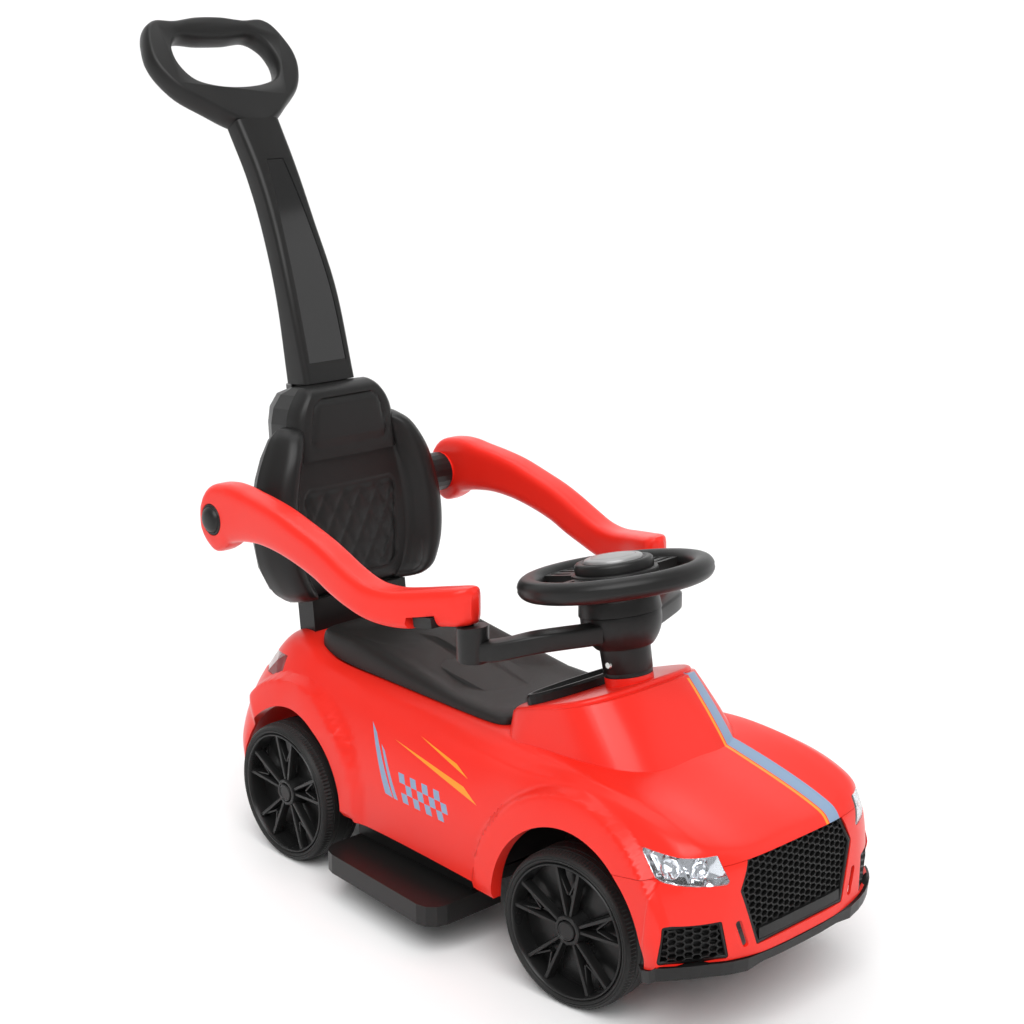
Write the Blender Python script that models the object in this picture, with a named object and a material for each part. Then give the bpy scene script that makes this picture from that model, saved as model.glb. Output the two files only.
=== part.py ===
# Toddler ride-on push car: a hollow red body on a black underbody, a push handle with a loop
# grip, two swinging guard arms, and a steering wheel that turns the front wheels.
# Metres, +Z up. The car drives towards -Y, and -X is the driver's right. The origin is on the
# ground under the middle of the car. The front wheels rest slightly steered to the driver's left.

import bpy
import bmesh
from math import atan, cos, pi, radians, sin, tan
from mathutils import Matrix, Vector

# Clearances
FIT_GAP = 0.0003            # between pieces that seat on each other or run in each other
ARCH_CLEARANCE_REAR = 0.0145
ARCH_CLEARANCE_FRONT = 0.0225

# Wheels, axle and kingpins
TYRE_RADIUS = 0.0725
TYRE_WIDTH = 0.046
TYRE_WALL = 0.0103          # from the tread down to the seat on the rim
RIM_WALL = 0.0035
RIM_RECESS = 0.003          # the spokes' faces lie this far behind the tyre's face
SPOKE_DEPTH = 0.008
SPOKE_WIDTH = 0.0046
HUB_RADIUS = 0.0135
WEB_DEPTH = 0.019           # from the tyre's face to the closed disc behind the spokes
WEB_WALL = 0.003
AXLE_RADIUS = 0.004
SPOKE_TWIN = radians(9.0)   # half the angle between the two bars of a spoke
HUB_CAP_WALL = 0.002
CAP_RADIUS_IN_HUB = 0.0095
CAP_POCKET = 0.0058         # depth of the hub's pocket for the cap and the axle's head
AXLE_HEAD_RADIUS = 0.0075
AXLE_HEAD_WALL = 0.0022
BEAM_WALL = 0.006           # the front axle beam over the kingpins
WHEEL_FACE_X = 0.136        # outer face of the tyres when the wheels point straight
REAR_AXLE_Y = 0.135
KINGPIN_Y = -0.271
KINGPIN_INSET = 0.010       # from the tyre's inner face to the kingpin
KINGPIN_RADIUS = 0.003
REST_STEER = radians(5.8)

# Steering linkage
STEER_ARM = 0.030           # kingpin to track rod pin, and the shaft's crank
STEER_RAKE = radians(11.67)
COLUMN_Y = -0.2115          # the column's axis at the reference height
COLUMN_Z = 0.310
ROD_PIN_RADIUS = 0.0025
STEER_ARM_Z = 0.089
STEER_ARM_WALL = 0.005
TRACK_ROD_WALL = 0.004
ROD_END = 0.0065            # how far the track rod reaches past the kingpins
ROD_CORNER_CUT = 0.0025     # keeps the rod's ends off the steered tyres
KNUCKLE_FOOT = 0.058
KNUCKLE_TOP = 0.100
KNUCKLE_RADIUS = 0.008
KINGPIN_EAR = 0.0085
SHAFT_FOOT = -0.205         # along the column from the reference height
KINGPIN_X = WHEEL_FACE_X - TYRE_WIDTH - KINGPIN_INSET

# Steering wheel
GRIP_RING_RADIUS = 0.0805
GRIP_TUBE_RADIUS = 0.0103
GRIP_RING_LIFT = 0.0435     # along the column from the reference height
WHEEL_HUB_RADIUS = 0.0405
PAD_RADIUS = 0.0365
HORN_RADIUS = 0.027
HORN_TRAVEL = 0.003
WHEEL_HUB_FOOT = 0.0345     # along the column from the reference height
PAD_SEAT = 0.0500
PAD_WALL = 0.0025
PAD_TOP = 0.0595
SPOKE_ANGLES = (0.0, 90.0, 180.0)

# Column sleeve, clamp hub and cross bar
SLEEVE_BOTTOM_RADIUS = 0.0225
SLEEVE_TOP_RADIUS = 0.0240
SLEEVE_FOOT = -0.047        # along the column from the reference height
BOWL_RADIUS = 0.0375
BOWL_MIDDLE = 0.006          # the ball of the bowl is centred here on the column
BOWL_SEAM = 0.011
BOWL_FOOT = -0.0205
COVER_RADIUS = 0.0355
COVER_TOP = 0.031
SLEEVE_TOP = -0.006
BOWL_FLOOR = -0.0015
SCREW_LIFT = -0.034         # along the column from the reference height
SHAFT_TOP = 0.047
CRANK_PIN_LENGTH = 0.0165
ROD_PIN_PLAY = 0.0006
ROD_SLOT_Y = 0.0160         # middle of the crank's slot behind the kingpin arms' pins
BAR_WIDTH = 0.019
POST_RADIUS = 0.0148
POST_X = 0.1215
POST_Y = -0.1435
POST_FOOT_Z = 0.2855
BAR_PATH = (                # middle line of the cross bar's arm (x, y), bottom and top
    (POST_X, POST_Y, 0.2862, 0.3035), (0.1110, -0.1680, 0.2905, 0.3085),
    (0.0870, -0.1920, 0.2985, 0.3160), (0.0320, -0.2135, 0.2990, 0.3165),
)
PEG_RADIUS = 0.0055
PEG_Y = -0.1370
PEG_HEIGHT = 0.012

# Body
BODY_WALL = 0.003
COWL_WALL = 0.003
REFLECTOR_WALL = 0.0030
WELL_HALF_WIDTH = 0.060
WELL_FRONT_Y = -0.126
WELL_REAR_Y = 0.070
FLARE_WIDTH = 0.026
COLLAR_RADIUS = 0.0226
SHAFT_WAY_RADIUS = 0.0095
DASH_Y = -0.1680
DASH_HALF_WIDTH = 0.074
DASH_HALF_LENGTH = 0.022
DASH_RIM = 0.0095
DASH_FACE = 0.0045

# Seat and storage bin
SEAT_HALF_WIDTH = 0.0765
SEAT_FRONT_Y = -0.1350
SEAT_REAR_Y = 0.148
SEAT_SKIRT_Z = 0.2067
SEAT_WALL = 0.0025
SEAT_SQUARENESS = 14        # power of the seat's outline
SEAT_EDGE_LINE = 4          # the line of the body that runs under the seat's side
BIN_WALL = 0.0015
BIN_FLANGE = 0.004
WELL_RIM_Z = 0.2058

# Underbody and footrests
CHASSIS_Z = 0.0523
CHASSIS_WALL = 0.012
CHASSIS_HALF_WIDTH = 0.112
CHASSIS_NOSE_HALF_WIDTH = 0.044
CHASSIS_NOSE_Y = -0.352
CHASSIS_TAIL_HALF_WIDTH = 0.080
BULKHEAD_TOP = 0.135
BULKHEAD_FOOT = 0.090
BULKHEAD_HALF_WIDTH = 0.1060
LIP_STEP_X = 0.067          # the lip is deeper outside these
FOOTREST_WALL = 0.020
FOOTREST_FRONT_Y = -0.137
FOOTREST_REAR_Y = 0.040
FOOTREST_INNER_X = 0.082
FOOTREST_FRONT_X = 0.170
FOOTREST_REAR_X = 0.160

# Backrest
BACK_RAKE = radians(6.1)
BACK_FOOT_Y = 0.186
BACK_FOOT_Z = 0.253
BACK_SEAM = 0.002           # depth of the seam between the two shells
BACK_WALL = 0.0025
SPINE_DEPTH = 0.0525        # how far the spine stands behind the seam
BASE_BELOW = 0.048
BUTTON_RADIUS = 0.007
BUTTON_DROP = 0.035         # below the top of the backrest
BUTTON_TRAVEL = 0.002
BASE_HALF_WIDTH = 0.0625
BASE_DEPTH = 0.026

# Push handle
TONGUE_LENGTH = 0.085
TONGUE_HALF_WIDTH = 0.026
TONGUE_DEPTH = 0.030
TONGUE_FACE = 0.0100        # the tongue's front lies this far behind the seam
INSERT_SINK = 0.0008        # the glossy strip lies this deep in the stem
INSERT_WALL = 0.0015
LOOP_TILT = radians(40.0)

# Guard arms
ARM_PIVOT_Y = 0.1965
ARM_PIVOT_Z = 0.3573
ARM_THICKNESS = 0.0306
ARM_REAR_X = 0.1524         # middle of the arm at its pivot
ARM_PROFILE = (             # y, middle in x, top and bottom of the arm from its front to its rear
    (-0.1470, .1215, .3500, .3235), (-0.1440, .1219, .3543, .3195), (-0.1200, .1297, .3507, .3152),
    (-0.0900, .1403, .3449, .3083), (-0.0650, .1465, .3411, .3061), (-0.0400, .1512, .3426, .3083),
    (-0.0150, .1536, .3512, .3147), (0.0080, .1541, .3611, .3222), (0.0300, .1542, .3693, .3312),
    (0.0600, .1541, .3780, .3391), (0.0900, .1538, .3860, .3441), (0.1200, .1531, .3909, .3455),
    (0.1450, .1525, .3938, .3429), (0.1600, .1524, .3958, .3399), (0.1734, .1524, .3962, .3358),
    (0.1800, .1524, .3958, .3302), (0.1965, .1524, .3930, .3225), (0.2067, .1524, .3883, .3265),
    (0.2131, .1524, .3803, .3334), (0.2172, .1524, .3695, .3417), (0.2193, .1524, .3600, .3500),
)
HINGE_TUBE_RADIUS = 0.0212
HINGE_PIN_RADIUS = 0.004
ARM_FACE_X = 0.1345         # the arm's hub faces the hinge sleeve here
TUBE_ROOT_X = 0.1040        # the sleeve's end inside the backrest
PIN_END = 0.1560
ARM_BOSS_RADIUS = 0.0200
CAP_FLOOR_X = 0.1600
CAP_DOME_X = 0.1735
PEG_PLAY = 0.002
LATCH_FRONT_Y = -0.1200
LATCH_REAR_Y = -0.0890
LATCH_HEIGHT = 0.0115
CAP_RADIUS = 0.0158
LATCH_TRAVEL = 0.005

# Lines of the body from the rear edge over the deck, the seat, the hood and down the front.
# Each station: y at the centre, how far its side lies from that y, and seven points (x, z)
# from the centre to the bottom edge.
BODY_STATIONS = (
    (0.281, -0.063, (0, .070), (.050, .070), (.085, .070), (.105, .070), (.115, .070),
     (.119, .070), (.121, .070)),
    (0.281, -0.062, (0, .105), (.050, .105), (.085, .104), (.104, .102), (.114, .098),
     (.119, .088), (.121, .072)),
    (0.261, -0.064, (0, .150), (.048, .150), (.082, .149), (.101, .145), (.111, .132),
     (.117, .105), (.121, .070)),
    (0.231, -0.060, (0, .190), (.046, .190), (.078, .188), (.097, .180), (.107, .160),
     (.115, .120), (.120, .070)),
    (0.196, -0.043, (0, .220), (.048, .220), (.078, .217), (.094, .202), (.105, .178),
     (.113, .130), (.119, .070)),
    (0.150, -0.010, (0, .2190), (.050, .2190), (.080, .2175), (.095, .205), (.104, .186),
     (.113, .138), (.119, .070)),
    (0.100, 0.0, (0, .2055), (.068, .2055), (.079, .2085), (.095, .200), (.107, .181),
     (.117, .135), (.121, .070)),
    (-0.020, 0.0, (0, .2055), (.050, .2055), (.079, .2055), (.097, .194), (.111, .174),
     (.123, .128), (.125, .074)),
    (-0.140, 0.0, (0, .2055), (.050, .2055), (.079, .2055), (.099, .195), (.114, .178),
     (.126, .132), (.127, .072)),
    (-0.210, 0.0, (0, .209), (.050, .209), (.088, .208), (.106, .199), (.119, .184),
     (.127, .140), (.129, .070)),
    (-0.275, 0.0, (0, .212), (.050, .210), (.096, .209), (.109, .204), (.119, .190),
     (.127, .145), (.131, .072)),
    (-0.340, 0.0, (0, .199), (.050, .198), (.092, .203), (.108, .201), (.120, .188),
     (.129, .142), (.134, .076)),
    (-0.400, 0.030, (0, .183), (.050, .182), (.088, .187), (.106, .188), (.119, .178),
     (.132, .142), (.136, .080)),
    (-0.4205, 0.045, (0, .170), (.050, .170), (.082, .171), (.103, .171), (.1195, .164),
     (.135, .142), (.139, .078)),
    (-0.4265, 0.042, (0, .142), (.050, .142), (.083, .142), (.104, .142), (.122, .139),
     (.134, .122), (.140, .081)),
    (-0.4300, 0.040, (0, .082), (.050, .083), (.085, .086), (.104, .088), (.119, .088),
     (.132, .087), (.140, .086)),
)
BODY_SWEEP_POWER = 4        # how sharply the corners turn in plan
SEAM_Z_AT_ARCH = 0.146      # seam between the body and the front bumper
SEAM_Z_AT_LAMP = 0.157
SEAM_Z_AT_HOOD = 0.1675

RED = (0.80, 0.030, 0.018)
BLACK = (0.018, 0.018, 0.019)


def clear_scene():
    for item in list(bpy.data.objects):
        bpy.data.objects.remove(item, do_unlink=True)


def plastic(name, color, roughness=0.4, metallic=0.0):
    mat = bpy.data.materials.new(name)
    mat.use_nodes = True
    shader = mat.node_tree.nodes["Principled BSDF"]
    shader.inputs["Base Color"].default_value = (*color, 1.0)
    shader.inputs["Roughness"].default_value = roughness
    shader.inputs["Metallic"].default_value = metallic
    return mat


def link(name, bm, mat=None, parent=None, smooth=35, closed=True):
    bmesh.ops.remove_doubles(bm, verts=bm.verts, dist=1e-6)
    if closed:
        bmesh.ops.recalc_face_normals(bm, faces=bm.faces)
    mesh = bpy.data.meshes.new(name)
    bm.to_mesh(mesh)
    bm.free()
    mesh.shade_smooth()
    mesh.set_sharp_from_angle(angle=radians(smooth))
    thing = bpy.data.objects.new(name, mesh)
    bpy.context.scene.collection.objects.link(thing)
    if mat:
        mesh.materials.append(mat)
    if parent:
        thing.parent = parent
    return thing


def empty(name, location, rotation=(0.0, 0.0, 0.0), parent=None):
    holder = bpy.data.objects.new(name, None)
    holder.location = location
    holder.rotation_euler = rotation
    bpy.context.scene.collection.objects.link(holder)
    if parent:
        holder.parent = parent
    return holder


def as_tool(thing):
    thing.hide_render = True
    thing.display_type = "WIRE"
    return thing


def combine(thing, tool, operation="DIFFERENCE"):
    step = thing.modifiers.new(tool.name, "BOOLEAN")
    step.operation = operation
    step.solver = "EXACT"
    step.object = as_tool(tool)
    return thing


def loft(rings, close_ends=True):
    bm = bmesh.new()
    rows = [[bm.verts.new(p) for p in ring] for ring in rings]
    count = len(rows[0])
    for near, far in zip(rows, rows[1:]):
        for k in range(count):
            bm.faces.new((near[k], near[(k + 1) % count], far[(k + 1) % count], far[k]))
    if close_ends:
        bm.faces.new(rows[0])
        bm.faces.new(rows[-1])
    else:
        for k in range(count):
            bm.faces.new((rows[-1][k], rows[-1][(k + 1) % count], rows[0][(k + 1) % count],
                          rows[0][k]))
    return bm


def prism(outline, low, high, axis):
    # outline holds (y, z) pairs for axis X, (x, z) for Y and (x, y) for Z
    place = {"X": lambda a, b, h: (h, a, b), "Y": lambda a, b, h: (a, h, b),
             "Z": lambda a, b, h: (a, b, h)}[axis]
    return loft([[place(a, b, h) for a, b in outline] for h in (low, high)])


def block(low, high):
    (x0, y0, z0), (x1, y1, z1) = low, high
    return prism([(x0, y0), (x1, y0), (x1, y1), (x0, y1)], z0, z1, "Z")


def turned(profile, steps, axis="Z", close=False):
    # profile holds (radius, height) pairs; its ends lie on the axis, or it is a closed loop
    bm = bmesh.new()
    rings = []
    for radius, height in profile:
        if radius < 1e-7:
            rings.append([bm.verts.new(turned_point(0.0, height, 0.0, axis))])
        else:
            rings.append([bm.verts.new(turned_point(radius, height, 2 * pi * k / steps, axis))
                          for k in range(steps)])
    pairs = list(zip(rings, rings[1:]))
    if close:
        pairs.append((rings[-1], rings[0]))
    for low, high in pairs:
        for k in range(steps):
            corners = [low[k % len(low)], low[(k + 1) % len(low)],
                       high[(k + 1) % len(high)], high[k % len(high)]]
            corners = list(dict.fromkeys(corners))
            if len(corners) > 2:
                bm.faces.new(corners)
    return bm


def turned_point(radius, height, angle, axis):
    a, b = radius * cos(angle), radius * sin(angle)
    return {"X": (height, a, b), "Y": (a, height, b), "Z": (a, b, height)}[axis]


def rod(radius, low, high, steps=12, axis="Z"):
    return turned([(0.0, low), (radius, low), (radius, high), (0.0, high)], steps, axis)


def tube(outer, inner, low, high, steps=16, axis="Z"):
    return turned([(inner, low), (outer, low), (outer, high), (inner, high)], steps, axis,
                  close=True)


def rounded(corners, radius, steps=3):
    # the outline with each corner turned in an arc
    points = []
    count = len(corners)
    for k, corner in enumerate(corners):
        here = Vector(corner)
        before = (Vector(corners[k - 1]) - here).normalized()
        after = (Vector(corners[(k + 1) % count]) - here).normalized()
        half = before.angle(after) / 2
        reach = radius / tan(half)
        middle = here + (before + after).normalized() * radius / sin(half)
        start = here + before * reach - middle
        turn = (here + after * reach - middle)
        sweep = start.angle_signed(turn)
        for s in range(steps + 1):
            spin = Matrix.Rotation(-sweep * s / steps, 2)
            points.append(tuple(middle + spin @ start))
    return points


def superellipse(half_a, half_b, power, steps, phase=0.0):
    points = []
    for k in range(steps):
        c, s = cos(2 * pi * (k + phase) / steps), sin(2 * pi * (k + phase) / steps)
        points.append((half_a * abs(c) ** (2 / power) * (1 if c >= 0 else -1),
                       half_b * abs(s) ** (2 / power) * (1 if s >= 0 else -1)))
    return points


def curve_through(points, t):
    # smooth curve through the points, at t from 0 to 1
    place = t * (len(points) - 1)
    k = min(int(place), len(points) - 2)
    u = place - k
    p1, p2 = Vector(points[k]), Vector(points[k + 1])
    p0 = Vector(points[k - 1]) if k else p1 * 2 - p2
    p3 = Vector(points[k + 2]) if k + 2 < len(points) else p2 * 2 - p1
    return 0.5 * (p1 * 2 + (p2 - p0) * u + (p0 * 2 - p1 * 5 + p2 * 4 - p3) * u * u
                  + (p1 * 3 - p0 - p2 * 3 + p3) * u ** 3)


# The body's outer surface and the pieces cut from it

def station_line(station):
    y_centre, sweep, *points = station
    edge = points[-1][0]
    half = [Vector((x, y_centre + sweep * (x / edge) ** BODY_SWEEP_POWER, z)) for x, z in points]
    return [Vector((-p.x, p.y, p.z)) for p in reversed(half[1:])] + half


BODY_LINES = [station_line(station) for station in BODY_STATIONS]
LAST_ROW = len(BODY_LINES) - 1
LAST_LINE = len(BODY_LINES[0]) - 1


def skin_point(row, line):
    # row runs over the stations from the rear to the bumper, line from the right sill to the left
    across = [curve_through([stations[k] for stations in BODY_LINES], row / LAST_ROW)
              for k in range(LAST_LINE + 1)]
    return curve_through(across, line / LAST_LINE)


def skin_rows(rows, lines, depth):
    # a grid of points on the surface, or the depth below it
    grid = [[skin_point(row, line) for line in lines] for row in rows]
    if depth == 0.0:
        return grid
    shifted = []
    for i in range(len(rows)):
        shifted.append([])
        row = min(max(i, 1), len(rows) - 2)
        for k in range(len(lines)):
            line = min(max(k, 1), len(lines) - 2)
            along = grid[row + 1][line] - grid[row - 1][line]
            across = grid[row][line + 1] - grid[row][line - 1]
            shifted[-1].append(grid[i][k] + across.cross(along).normalized() * depth)
    return shifted


def skin_sheet(first_row, last_row, shallow, deep, per_row=2, per_line=1):
    # a closed wall between two depths below the body's surface
    rows = [first_row + k / per_row for k in range(round((last_row - first_row) * per_row) + 1)]
    lines = [k / per_line for k in range(LAST_LINE * per_line + 1)]
    bm = bmesh.new()
    outer, inner = ([[bm.verts.new(p) for p in row] for row in skin_rows(rows, lines, depth)]
                    for depth in (shallow, deep))
    for i in range(len(rows) - 1):
        for k in range(len(lines) - 1):
            bm.faces.new((outer[i][k], outer[i][k + 1], outer[i + 1][k + 1], outer[i + 1][k]))
            bm.faces.new((inner[i][k], inner[i + 1][k], inner[i + 1][k + 1], inner[i][k + 1]))
    rim = ([(0, k) for k in range(len(lines))] + [(i, len(lines) - 1) for i in range(1, len(rows))]
           + [(len(rows) - 1, k) for k in range(len(lines) - 2, -1, -1)]
           + [(i, 0) for i in range(len(rows) - 2, 0, -1)])
    for (i, k), (j, m) in zip(rim, rim[1:] + rim[:1]):
        bm.faces.new((outer[i][k], inner[i][k], inner[j][m], outer[j][m]))
    return bm


def deck_height(y, line=LAST_LINE / 2):
    # height of the body's top at y, between the rear deck and the hood
    low, high = 3.0, 13.0
    for _ in range(30):
        middle = (low + high) / 2
        if skin_point(middle, line).y > y:
            low = middle
        else:
            high = middle
    return skin_point(low, line).z


REAR_ARCH = (REAR_AXLE_Y + 0.003, TYRE_RADIUS, TYRE_RADIUS + ARCH_CLEARANCE_REAR, 0.1205)
FRONT_ARCH = (KINGPIN_Y - 0.008, TYRE_RADIUS, TYRE_RADIUS + ARCH_CLEARANCE_FRONT, 0.1370)


def arch_spaces():
    bm = bmesh.new()
    for y, z, radius, _ in (REAR_ARCH, FRONT_ARCH):
        for side in (-1, 1):
            ring = [(y + radius * cos(2 * pi * k / 28), z + radius * sin(2 * pi * k / 28))
                    for k in range(28)]
            part = prism(ring, side * 0.088, side * 0.2, "X")
            mesh = bpy.data.meshes.new("arch")
            bmesh.ops.recalc_face_normals(part, faces=part.faces)
            part.to_mesh(mesh)
            part.free()
            bm.from_mesh(mesh)
    return link("arch_spaces", bm)


def flares(name, arch, from_angle, to_angle, steps, root_depth):
    # the raised band round a wheel arch, on both sides
    y, z, radius, lip = arch
    bm = bmesh.new()
    for side in (-1, 1):
        rings = []
        for k in range(steps + 1):
            angle = radians(from_angle + (to_angle - from_angle) * k / steps)
            root = lip - root_depth - 0.016 * max(sin(angle), 0.0)
            band = [(radius - 0.001, root), (radius - 0.001, lip),
                    (radius + FLARE_WIDTH, max(lip - 0.011, root + 0.003)),
                    (radius + FLARE_WIDTH + 0.005, root - 0.002)]
            rings.append([(side * x, y + r * cos(angle), z + r * sin(angle)) for r, x in band])
        part = loft(rings)
        bmesh.ops.recalc_face_normals(part, faces=part.faces)
        mesh = bpy.data.meshes.new("flare")
        part.to_mesh(mesh)
        part.free()
        bm.from_mesh(mesh)
    return link(name, bm)


def bumper_zone(name, lift):
    # everything below the seam between the hood and the front bumper
    outline = [(-0.300, 0.0), (-0.300, SEAM_Z_AT_ARCH - 0.004 + lift),
               (-0.379, SEAM_Z_AT_LAMP + lift), (-0.402, SEAM_Z_AT_LAMP + 0.001 + lift),
               (-0.409, SEAM_Z_AT_HOOD + lift), (-0.500, SEAM_Z_AT_HOOD + lift), (-0.500, 0.0)]
    return link(name, prism(outline, -0.2, 0.2, "X"))


COWL_SLOPE = radians(19.0)
COWL_TOP = (0.0, -0.1950, 0.2462)       # middle of the cowl's sloped top


def cowl_ring(shrink, lift, top):
    # a level ring low in the body, or the sloped ring at the cowl's top; squarer at the seat
    half_a, half_b = (0.079, 0.0565 / cos(COWL_SLOPE)) if top else (0.090, 0.0875)
    front, rear = (superellipse(half_a - shrink, half_b - shrink, power, 24, 0.5)
                   for power in (3.2, 6.5))
    ring = []
    for near, far in zip(front, rear):
        a, b = far if far[1] > 0 else near
        if top:
            ring.append((a, COWL_TOP[1] + b * cos(COWL_SLOPE),
                         COWL_TOP[2] + lift - b * sin(COWL_SLOPE)))
        else:
            ring.append((a, -0.2250 + b, 0.198 + lift))
    return ring


def cowl(name, shrink, lift_low, lift_top):
    return link(name, loft([cowl_ring(shrink, lift_low, False), cowl_ring(shrink, lift_top, True)]))


def column_frame():
    return empty("column_axis", (0.0, COLUMN_Y, COLUMN_Z), (-STEER_RAKE, 0.0, 0.0))


LAMP = ((0.130, 0.1830), (0.0935, 0.1795), (0.0790, 0.1520), (0.1285, 0.1570))
LAMP_AIM = radians(33.0)


def lamp_space(name, side, grow):
    # a slanted prism through the headlamp's outline
    centre = Vector((sum(p[0] for p in LAMP) / 4, sum(p[1] for p in LAMP) / 4))
    rings = []
    for reach in (-0.060, 0.060):
        ring = []
        for x, z in LAMP:
            out = (Vector((x, z)) - centre).normalized() * grow * 1.4
            ring.append((side * (x + out.x + reach * sin(LAMP_AIM)),
                         -0.395 - reach * cos(LAMP_AIM), z + out.y))
        rings.append(ring)
    return link(name, loft(rings))


GRILLE = ((0.0618, 0.1680), (0.0745, 0.1440), (0.0565, 0.0915), (-0.0565, 0.0915),
          (-0.0745, 0.1440), (-0.0618, 0.1680))


def grille_space(name, grow):
    outline = []
    for x, z in GRILLE:
        outline.append((x + grow * (1 if x > 0 else -1), z + grow * (1 if z > 0.13 else
                                                                    -1 if z < 0.1 else 0)))
    return link(name, prism(outline, -0.47, -0.39, "Y"))


INTAKE = ((0.0850, 0.1165), (0.1225, 0.1120), (0.1245, 0.0925), (0.0800, 0.0915))
INTAKE_SLOT = ((0.0665, 0.1190), (0.0735, 0.1190), (0.0715, 0.0960), (0.0645, 0.0960))


def front_space(name, outline, side, grow):
    middle = Vector((sum(p[0] for p in outline) / 4, sum(p[1] for p in outline) / 4))
    points = []
    for x, z in outline:
        out = (Vector((x, z)) - middle).normalized() * grow * 1.4
        points.append((side * (x + out.x), z + out.y))
    return link(name, prism(points, -0.47, -0.385, "Y"))


TAIL_LAMP = ((0.1010, 0.2040), (0.1030, 0.1780), (0.0700, 0.1720), (0.0600, 0.1900))


def tail_space(name, side, grow):
    middle = Vector((sum(p[0] for p in TAIL_LAMP) / 4, sum(p[1] for p in TAIL_LAMP) / 4))
    points = []
    for x, z in TAIL_LAMP:
        out = (Vector((x, z)) - middle).normalized() * grow * 1.4
        points.append((side * (x + out.x), z + out.y))
    return link(name, prism(points, 0.175 - grow, 0.30, "Y"))


def seat_well(grow):
    corners = [(-WELL_HALF_WIDTH - grow, WELL_FRONT_Y - grow),
               (WELL_HALF_WIDTH + grow, WELL_FRONT_Y - grow),
               (WELL_HALF_WIDTH + grow, WELL_REAR_Y + grow),
               (-WELL_HALF_WIDTH - grow, WELL_REAR_Y + grow)]
    return rounded(corners, 0.012, 2)


def build_body(red, column, back):
    shell = link("body_shell", skin_sheet(0, 13.5, 0.0, BODY_WALL), red)
    combine(shell, cowl("cowl_block", 0.0, 0.0, 0.0), "UNION")
    combine(shell, cowl("cowl_hollow", COWL_WALL, -0.012, -COWL_WALL))
    combine(shell, link("collar_way", rod(COLLAR_RADIUS - 0.003, -0.1, 0.0, 20), parent=column))
    collar = tube(COLLAR_RADIUS, SHAFT_WAY_RADIUS, -0.078, SLEEVE_FOOT - FIT_GAP, 20)
    combine(shell, link("collar", collar, parent=column), "UNION")
    for name, arch, start, end in (("rear_flares", REAR_ARCH, 40, 181),
                                   ("front_flares", FRONT_ARCH, -1, 168)):
        combine(shell, flares(name, arch, start, end, 10, 0.012), "UNION")
    combine(shell, arch_spaces())
    combine(shell, bumper_zone("hood_seam", FIT_GAP))
    combine(shell, link("well_opening", prism(seat_well(0.0), 0.19, 0.24, "Z")))
    combine(shell, link("base_slot", base_box(0.0, FIT_GAP), parent=back))
    for side in (-1, 1):
        combine(shell, lamp_space("lamp_opening", side, 0.0))
        combine(shell, tail_space("tail_opening", side, 0.0))
    return shell


def build_bumper(red):
    bumper = link("front_bumper", skin_sheet(10.5, LAST_ROW, 0.0, BODY_WALL), red)
    combine(bumper, flares("bumper_flares", FRONT_ARCH, 100, 170, 6, 0.007), "UNION")
    combine(bumper, arch_spaces())
    combine(bumper, bumper_zone("bumper_seam", 0.0), "INTERSECT")
    combine(bumper, grille_space("grille_opening", 0.0))
    for side in (-1, 1):
        combine(bumper, lamp_space("bumper_lamp_opening", side, 0.0))
        combine(bumper, front_space("intake_opening", INTAKE, side, 0.0))
        combine(bumper, front_space("intake_slot", INTAKE_SLOT, side, 0.0))
        room = link("intake_room", skin_sheet(12.5, LAST_ROW, BODY_WALL + 0.0001, 0.008))
        combine(room, front_space("intake_room_edge", INTAKE, side, 0.003), "INTERSECT")
        combine(bumper, room)
    return bumper


def build_front_trim(mats):
    grille = link("front_grille", skin_sheet(12.5, LAST_ROW, BODY_WALL + FIT_GAP,
                                             BODY_WALL + FIT_GAP + 0.003), mats["black"])
    combine(grille, grille_space("grille_edge", 0.0018), "INTERSECT")
    for side, word in ((-1, "right"), (1, "left")):
        intake = link("side_intake_" + word, skin_sheet(12.5, LAST_ROW, BODY_WALL + FIT_GAP,
                                                        BODY_WALL + FIT_GAP + 0.003),
                      mats["black"])
        combine(intake, front_space("intake_edge", INTAKE, side, 0.0016), "INTERSECT")
        lens = link("headlamp_lens_" + word, skin_sheet(10.5, 14.5, 0.0, BODY_WALL - 0.0012),
                    mats["clear"])
        combine(lens, lamp_space("lens_edge", side, -FIT_GAP), "INTERSECT")
        bowl = link("headlamp_reflector_" + word,
                    skin_sheet(10.5, 14.5, BODY_WALL + FIT_GAP, BODY_WALL + REFLECTOR_WALL),
                    mats["chrome"])
        combine(bowl, lamp_space("reflector_edge", side, -FIT_GAP), "INTERSECT")
        tail = link("tail_lamp_" + word, skin_sheet(1.0, 5.5, 0.0, BODY_WALL + 0.001),
                    mats["ruby"])
        combine(tail, tail_space("tail_edge", side, -FIT_GAP), "INTERSECT")
    link("front_lip", lip_mesh(), mats["black"])


def lip_mesh():
    # follows the bumper's lower edge from one front wheel arch round to the other
    last = float(LAST_LINE)
    spots = [(row, 0.0) for row in (12.0, 13.0, 14.0)]
    spots += [(LAST_ROW, line / 2) for line in range(2 * LAST_LINE + 1)]
    spots += [(row, last) for row in (14.0, 13.0, 12.0)]
    path = [skin_point(row, line) for row, line in spots]
    rings = []
    for k, point in enumerate(path):
        along = path[min(k + 1, len(path) - 1)] - path[max(k - 1, 0)]
        out = Vector((along.y, -along.x, 0.0)).normalized()
        wide = abs(point.x) > LIP_STEP_X
        drop, forward = (0.0125, 0.003) if wide else (0.0085, 0.001)
        rings.append([point + out * reach - Vector((0.0, 0.0, fall)) for reach, fall in (
            (forward, FIT_GAP), (forward * 0.6, drop), (-0.012, drop), (-0.012, 0.0040))])
    return loft(rings)


# Underbody, footrests, storage bin and seat

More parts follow.
